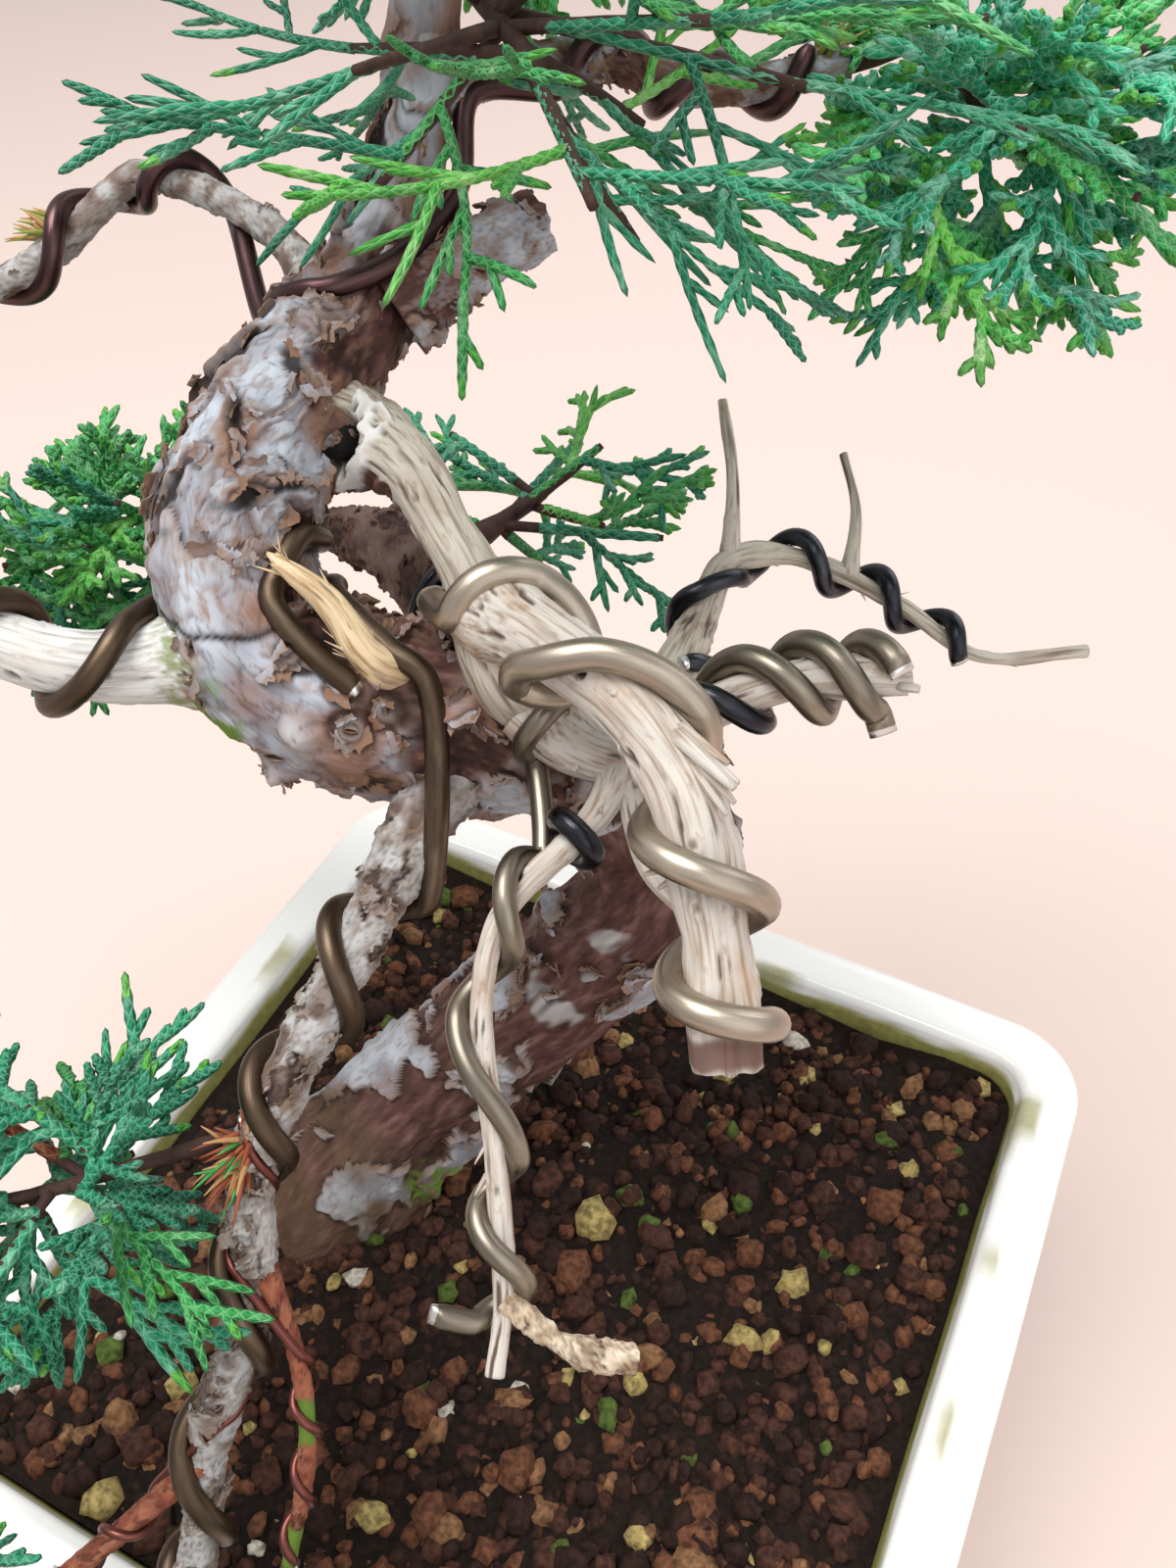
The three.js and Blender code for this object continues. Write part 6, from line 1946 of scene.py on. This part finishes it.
floor_ring = rings[-1]
facing = np.arctan2(*(floor_ring[:, :2] - DRAIN_PLACE).T[::-1])
hole = DRAIN_PLACE + DRAIN_RADIUS * np.stack([np.cos(facing), np.sin(facing)], -1)
drains = [np.column_stack([hole, np.full(len(hole), z)]) for z in (POT_FLOOR, POT_FLOOR / 2, 0)]
rings += bridge(floor_ring, drains[0], (0.3, 0.6, 0.9)) + drains
rings += bridge(drains[-1], rings[0], (0.1, 0.4, 0.7))
pot_points = np.array(rings)
row = np.arange(len(rings))[:, None] * len(floor_ring)
column = np.arange(len(floor_ring))
row_after, beside = np.roll(row, -1, 0), np.roll(column, -1)
quads = np.stack([row + column, row + beside, row_after + beside, row_after + column], -1).reshape(-1, 4)

drift = noise(pot_points, (18, 18, 14), 310) + 0.4 * noise(pot_points, 7, 311)
outward = pot_points * [1, 1, 0] / np.linalg.norm(pot_points[..., :2], axis=-1)[..., None]
above_foot = fade(pot_points[..., 2], 1, 8)[..., None]
inner_side = (np.abs(pot_points[..., :2]).max(-1) < INSIDE_HALF + 3.2) & (pot_points[..., 2] > SOIL_TOP - 3)
low_line = fade(-pot_points[..., 2] + 0.8 * noise(pot_points, 6, 312), -STAIN_TOP - 0.4, -STAIN_TOP + 0.8)
patches = fade(noise(pot_points, (9, 9, 30), 313), 0.3, 0.5) * 0.8
stain = inner_side * np.maximum(low_line, patches)
pot_points = pot_points + (outward * 0.16 + [0, 0, 0.1]) * drift[..., None] * above_foot

glaze, tree, shader = start_material(
    "white_glaze", Roughness=GLAZE_ROUGHNESS, Coat_Weight=0.4, Coat_Roughness=0.05)
place = add(tree, "TexCoord").outputs["Object"]
cloud = add(tree, "TexNoise", {"Vector": place, "Scale": 22.0, "Detail": 2.0})
speckle = add(tree, "TexNoise", {"Vector": place, "Scale": 700.0, "Detail": 3.0})
white = overlay(tree, linear("#f6f4ef"), [(cloud, "#f1f3f2")])
algae = overlay(tree, linear("#6d7034"), [(speckle, "#b3ad68")])
stained = add(tree, "Attribute", attribute_name="stain").outputs["Fac"]
rough = add(tree, "MapRange", {"Value": stained, 3: GLAZE_ROUGHNESS, 4: STAIN_ROUGHNESS})
feed(tree, shader, {"Base Color": overlay(tree, white, [(stained, algae)]), "Roughness": rough})
make_piece("glazed_pot", pot_points.reshape(-1, 3), quads, [glaze], ["pot"],
           masks={"stain": stain.ravel()})

# %% [markdown]
# ## The sizes at the end
#
# The dressed tree's box is measured here and kept beside the plain solids' box from the start.

# %% Sizes and finish
new_low, new_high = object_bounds()
sizes = {"cad": [list(cad_low), list(cad_high)], "visual": [list(new_low), list(new_high)]}
print("the tree is", [round(size / MM) for size in new_high - new_low], "mm")
